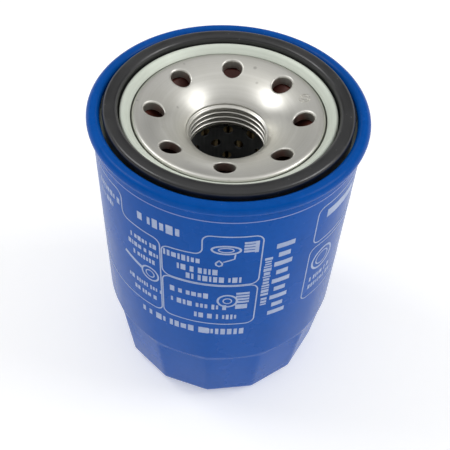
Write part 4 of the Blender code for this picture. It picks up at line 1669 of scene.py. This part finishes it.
@dataclass
class Print:
    """The pale print on the can: frames, rows of small strokes and plain pictures, with no lettering."""

    FRAMES = (
        ((-115.0, 58.0), (-73.6, 58.3), (-73.4, 75.5), (-97.6, 75.5), (-97.6, 68.9), (-115.0, 68.3)),
        ((-115.0, 42.0), (-73.8, 42.0), (-73.6, 57.9), (-115.0, 57.6)),
        ((-168.0, 42.0), (-115.8, 42.0), (-115.8, 69.4), (-135.6, 70.2), (-135.6, 77.6), (-168.0, 77.6)),
        ((-48.6, 64.9), (-4.0, 64.9), (-4.0, 77.8), (-48.6, 77.0)),
        ((-49.4, 43.0), (-4.0, 43.0), (-4.0, 63.4), (-49.4, 63.4)),
    )
    ROWS = (
        (-116.0, 74.3, 11.5, 2.9), (-106.5, 66.3, 8.5, 2.0), (-100.0, 62.9, 9.0, 2.0), (-92.5, 60.2, 13.0, 2.0),
        (-103.0, 53.4, 9.5, 2.0), (-99.0, 49.2, 13.5, 2.0), (-91.0, 45.2, 10.5, 2.0), (-105.5, 38.6, 13.5, 2.5),
        (-86.8, 38.6, 10.0, 2.5), (-122.5, 38.6, 5.0, 2.5), (-124.5, 66.0, 7.5, 1.6), (-124.5, 63.0, 9.5, 1.6),
        (-124.5, 60.0, 6.5, 1.6), (-124.5, 49.5, 11.0, 1.6), (-124.5, 46.0, 7.5, 1.6), (-146.0, 73.5, 8.5, 1.8),
        (-148.0, 70.0, 7.0, 1.8), (-70.2, 57.6, 18.0, 1.9, True), (-38.0, 50.3, 9.0, 1.7), (-38.0, 47.2, 9.0, 1.7),
    )

    BAR_REACHES = (2.3, 1.5, 2.3, 1.5, 2.3, 1.5, 2.3, 1.5, 2.3)

    proud: float = 0.035 * MM
    sunk: float = 0.03 * MM
    bars_at: float = -63.3
    bars_from: float = 43.6
    bar_pitch: float = 3.25
    bar_width: float = 1.6
    seed: int = 7
    can: Can = field(default_factory=Can)

    def wrap(self, name: str, seed: bpy.types.Mesh, finish: Finish) -> bpy.types.Object:
        """Wraps a flat drawing round the can and gives the ink its thickness.

        Args:
            name: The piece's name.
            seed: The flat drawing.
            finish: The ink.

        Returns:
            The raised ink.
        """
        recipe = Recipe(
            name + "_wrap", radius=self.can.radius, sunk=self.sunk, proud=self.proud, material=finish.build(),
        )
        inputs = recipe.inputs
        width, height = recipe.attribute("mark_width"), recipe.attribute("mark_height")
        grid = recipe.field("GeometryNodeMeshGrid", {"Size X": 1.0, "Size Y": 1.0, "Vertices X": 2, "Vertices Y": 2})
        is_mark = width.math("GREATER_THAN", 0.0)
        scale = recipe.vector(width, height, 1.0)
        marks = recipe.copies(recipe.seed, grid, recipe.vector(0.0, 0.0, 0.0), Selection=is_mark, Scale=scale)
        loose = {"Geometry": recipe.seed, "Selection": is_mark}
        lines = recipe.field("GeometryNodeSeparateGeometry", loose, output=1, domain="POINT")
        flat = recipe.joined(recipe.real(marks), lines)
        depth = inputs["sunk"] + inputs["proud"]
        raised = recipe.field("GeometryNodeExtrudeMesh", {"Mesh": flat, "Offset Scale": depth, "Individual": False})
        both = recipe.joined(raised, recipe.field("GeometryNodeFlipFaces", {"Mesh": flat}))
        x, y, z = recipe.split(recipe.position())
        place = recipe.around(inputs["radius"] - inputs["sunk"] + z, x / inputs["radius"], y)
        recipe.close(recipe.moved(both, place), inputs["material"])
        return recipe.make(name, seed)

    def side(self, ink: Layout) -> None:
        """Draws one side's frames, rows, pictures and plain bars.

        Args:
            ink: The drawing.
        """
        for corners in self.FRAMES:
            ink.frame(corners)
        for row in self.ROWS:
            ink.row(*row)
        self.pictures(ink)
        self.upright_mark(ink)
        ink.block(ink.at(-43.0, 72.4), ink.at(-22.0, 75.0))

    def pictures(self, ink: Layout) -> None:
        """Draws the plain pictures: rings with a brush, a drop, a ladder and a strap, and one ring alone.

        Args:
            ink: The drawing.
        """
        rings = (
            (-88.0, 71.0, 3.2, 0.5, 0.42), (-88.0, 71.0, 1.7, 0.3, 0.42),
            (-86.2, 51.9, 2.3, 0.5), (-86.2, 51.9, 1.0, 0.3),
            (-121.5, 55.0, 2.4, 0.45), (-121.5, 55.0, 1.2, 0.3),
            (-40.0, 57.0, 3.6, 0.6), (-40.0, 57.0, 2.2, 0.35),
        )
        for degrees, height, radius, width, *flat in rings:
            ink.ring(ink.at(degrees, height), radius * MM, width * MM, *flat)
        ladders = (
            (-81.0, (-1.5, -0.5, 0.5, 1.5), 71.6, 0.95, 2.6, 0.7),
            (-82.6, (0.0, 1.0, 2.0, 3.0), 51.0, 1.15, 3.2, 0.75),
        )
        for degrees, rungs, height, pitch, wide, tall in ladders:
            for rung in rungs:
                low = ink.at(degrees, height + rung * pitch)
                ink.block(low, low + Vector((wide * MM, tall * MM)))
        ink.block(ink.at(-76.6, 69.9), ink.at(-75.0, 73.8))
        ink.block(ink.at(-82.6, 48.6), ink.at(-77.4, 50.4))
        drop = [(0.0, 0.9), (0.75, -0.1), (0.65, -0.8), (0.0, -1.15), (-0.65, -0.8), (-0.75, -0.1)]
        place = ink.at(-90.6, 66.4)
        ink.stroke([place + Vector((x * MM, y * MM)) for x, y in drop], 0.42 * MM, closed=True)
        ink.stroke([ink.at(-89.0, 66.8), ink.at(-84.5, 68.0), ink.at(-84.2, 69.6)], 0.35 * MM)
        ink.stroke([ink.at(-126.0, 55.6), ink.at(-136.0, 57.6)], 1.0 * MM)

    def upright_mark(self, ink: Layout) -> None:
        """Draws a plain ladder of bars up the wall.

        Args:
            ink: The drawing.
        """
        middle = math.radians(ink.turn + self.bars_at) * ink.radius
        for number, reach in enumerate(self.BAR_REACHES):
            height = (self.bars_from + self.bar_pitch * number) * MM
            low = Vector((middle - reach * MM, height))
            ink.block(low, Vector((middle + reach * MM, height + self.bar_width * MM)))

    def build(self) -> None:
        """Builds and dresses the print, and the fine light line under the seam, which is a painted highlight."""
        random.seed(self.seed)
        ink = Layout(self.can.radius)
        for turn in (0.0, 180.0):
            ink.turn = turn
            self.side(ink)
        deliver(self.wrap("can_print", ink.seed(), INK), INK, Body.HOUSING, None)
        # The thin light line under the seam bead is a painted highlight: lighter ink that stands in for the bead's
        # reflection edge.
        edge = Layout(self.can.radius)
        height = self.can.span.top / MM - 5.4
        edge.stroke([edge.at(angle, height) for angle in range(0, 360, 2)], 0.28 * MM)
        deliver(self.wrap("painted_highlight_line", edge.seed(), PAINTED_HIGHLIGHT_INK), PAINTED_HIGHLIGHT_INK, Body.HOUSING, None)


# ---------------------------------------------------------------------------------------------------------
# The studio
# ---------------------------------------------------------------------------------------------------------


@dataclass
class Studio:
    """A pale floor, soft light and the camera."""

    SOFTBOXES = (
        ("left_softbox", (-0.60, 0.17, 0.78), 0.85, 0.30, 1.6),
        ("right_softbox", (0.75, -0.02, 0.66), 0.85, 0.34, 1.9),
    )

    distance: float = 168.35 * MM
    elevation: float = math.radians(39.885)
    pan: float = math.radians(-0.1885)
    tilt: float = math.radians(9.134)
    roll: float = math.radians(3.258)
    lens: float = 57.16
    dim: float = 0.05
    bright: float = 0.74
    dim_below: float = 0.55
    bright_above: float = 0.72
    backdrop: float = 0.92
    backdrop_fades: tuple[float, float] = (0.28, 0.46)
    target: float = field(default_factory=lambda: below_gasket(BEAD_DROP))

    def camera(self) -> None:
        """Sets the camera up over the threaded end."""
        eye = Vector((0, -math.cos(self.elevation), math.sin(self.elevation))) * self.distance
        ahead = Vector((0, math.cos(self.elevation), -math.sin(self.elevation)))
        up = Vector((0, math.sin(self.elevation), math.cos(self.elevation)))
        right = Vector((1, 0, 0))
        ahead, right = (
            ahead * math.cos(self.pan) - right * math.sin(self.pan),
            right * math.cos(self.pan) + ahead * math.sin(self.pan),
        )
        ahead, up = (
            ahead * math.cos(self.tilt) - up * math.sin(self.tilt),
            up * math.cos(self.tilt) + ahead * math.sin(self.tilt),
        )
        right, up = (
            right * math.cos(self.roll) + up * math.sin(self.roll),
            up * math.cos(self.roll) - right * math.sin(self.roll),
        )
        data = bpy.data.cameras.new("camera")
        data.lens, data.sensor_width = self.lens, 36.0
        data.clip_start, data.clip_end = 0.005, 20.0
        camera = bpy.data.objects.new("camera", data)
        turn = Matrix((right, up, -ahead)).transposed().to_4x4()
        camera.matrix_world = Matrix.Translation(eye + Vector((0, 0, self.target))) @ turn
        bpy.context.scene.collection.objects.link(camera)
        bpy.context.scene.camera = camera

    def floor(self) -> None:
        """Lays the floor under the object."""
        shape = Shape()
        half = 3.0
        shape.mesh.faces.new(shape.ring([(-half, -half, 0), (half, -half, 0), (half, half, 0), (-half, half, 0)]))
        floor = shape.finish("floor")
        paper = Finish("pale_floor", (0.86, 0.86, 0.855), (0.88, 0.88, 0.875), 0.6, mottle=6.0, grain_scale=300.0,
                       grain_depth=0.01 * MM, specular=0.3, glow=0.34)
        floor.data.materials.append(paper.build())

    def softbox(self, name: str, toward: tuple[float, float, float], away: float, size: float, power: float) -> None:
        """Hangs a square area light that faces the object.

        Args:
            name: The light's name.
            toward: The direction from the object to the light.
            away: Its distance.
            size: Its side.
            power: Its power in watts.
        """
        data = bpy.data.lights.new(name, "AREA")
        data.shape, data.size, data.energy = "SQUARE", size, power
        lamp = bpy.data.objects.new(name, data)
        direction = Vector(toward).normalized()
        lamp.location = direction * away + Vector((0, 0, self.target))
        lamp.rotation_euler = direction.to_track_quat("Z", "Y").to_euler()
        bpy.context.scene.collection.objects.link(lamp)

    def world(self) -> None:
        """Surrounds the scene with pale light that is brighter overhead."""
        world = bpy.data.worlds.new("studio")
        world.use_nodes = True
        wiring = Wiring(world.node_tree)
        toward = wiring.field("ShaderNodeTexCoord", output="Generated")
        height = wiring.field("ShaderNodeSeparateXYZ", {0: toward}, output=2)
        light = wiring.ramp(height, self.dim_below, self.bright_above, self.dim, self.bright)
        light = light + wiring.ramp(height, *self.backdrop_fades, self.backdrop, 0.0)
        shade = world.node_tree.nodes["Background"]
        shade.inputs["Color"].default_value = (1.0, 1.0, 1.0, 1.0)
        world.node_tree.links.new(light.socket, shade.inputs["Strength"])
        bpy.context.scene.world = world

    def build(self) -> None:
        """Sets up the camera, the floor and the light."""
        self.camera()
        self.floor()
        self.world()
        for box in self.SOFTBOXES:
            self.softbox(*box)
        settings = bpy.context.scene.view_settings
        settings.view_transform, settings.look = "Standard", "None"
        LOG.info("studio ready")


def main() -> None:
    """Builds the pieces in order."""
    logging.basicConfig(level=logging.INFO, format="%(name)s: %(message)s")
    for assembly in (Studio, Can, Lid, BasePlate, PlateStamp, Gasket, DrainbackValve, Print, EndCaps, CentreTube,
                     PleatedPaper, BypassValve):
        assembly().build()
    Spring(
        "wound_element_spring", "element_spring", wire=1.6 * MM, turns=3.5, joint="element_float",
        body=Body.HOUSING, held_at_top=False, travel=2.5 * MM,
    ).build()
    Spring(
        "wound_bypass_spring", "bypass_spring", wire=1.0 * MM, turns=5.0, joint="bypass_open",
        body=Body.ELEMENT, held_at_top=True, travel=3.0 * MM,
    ).build()


if __name__ == "__main__":
    main()
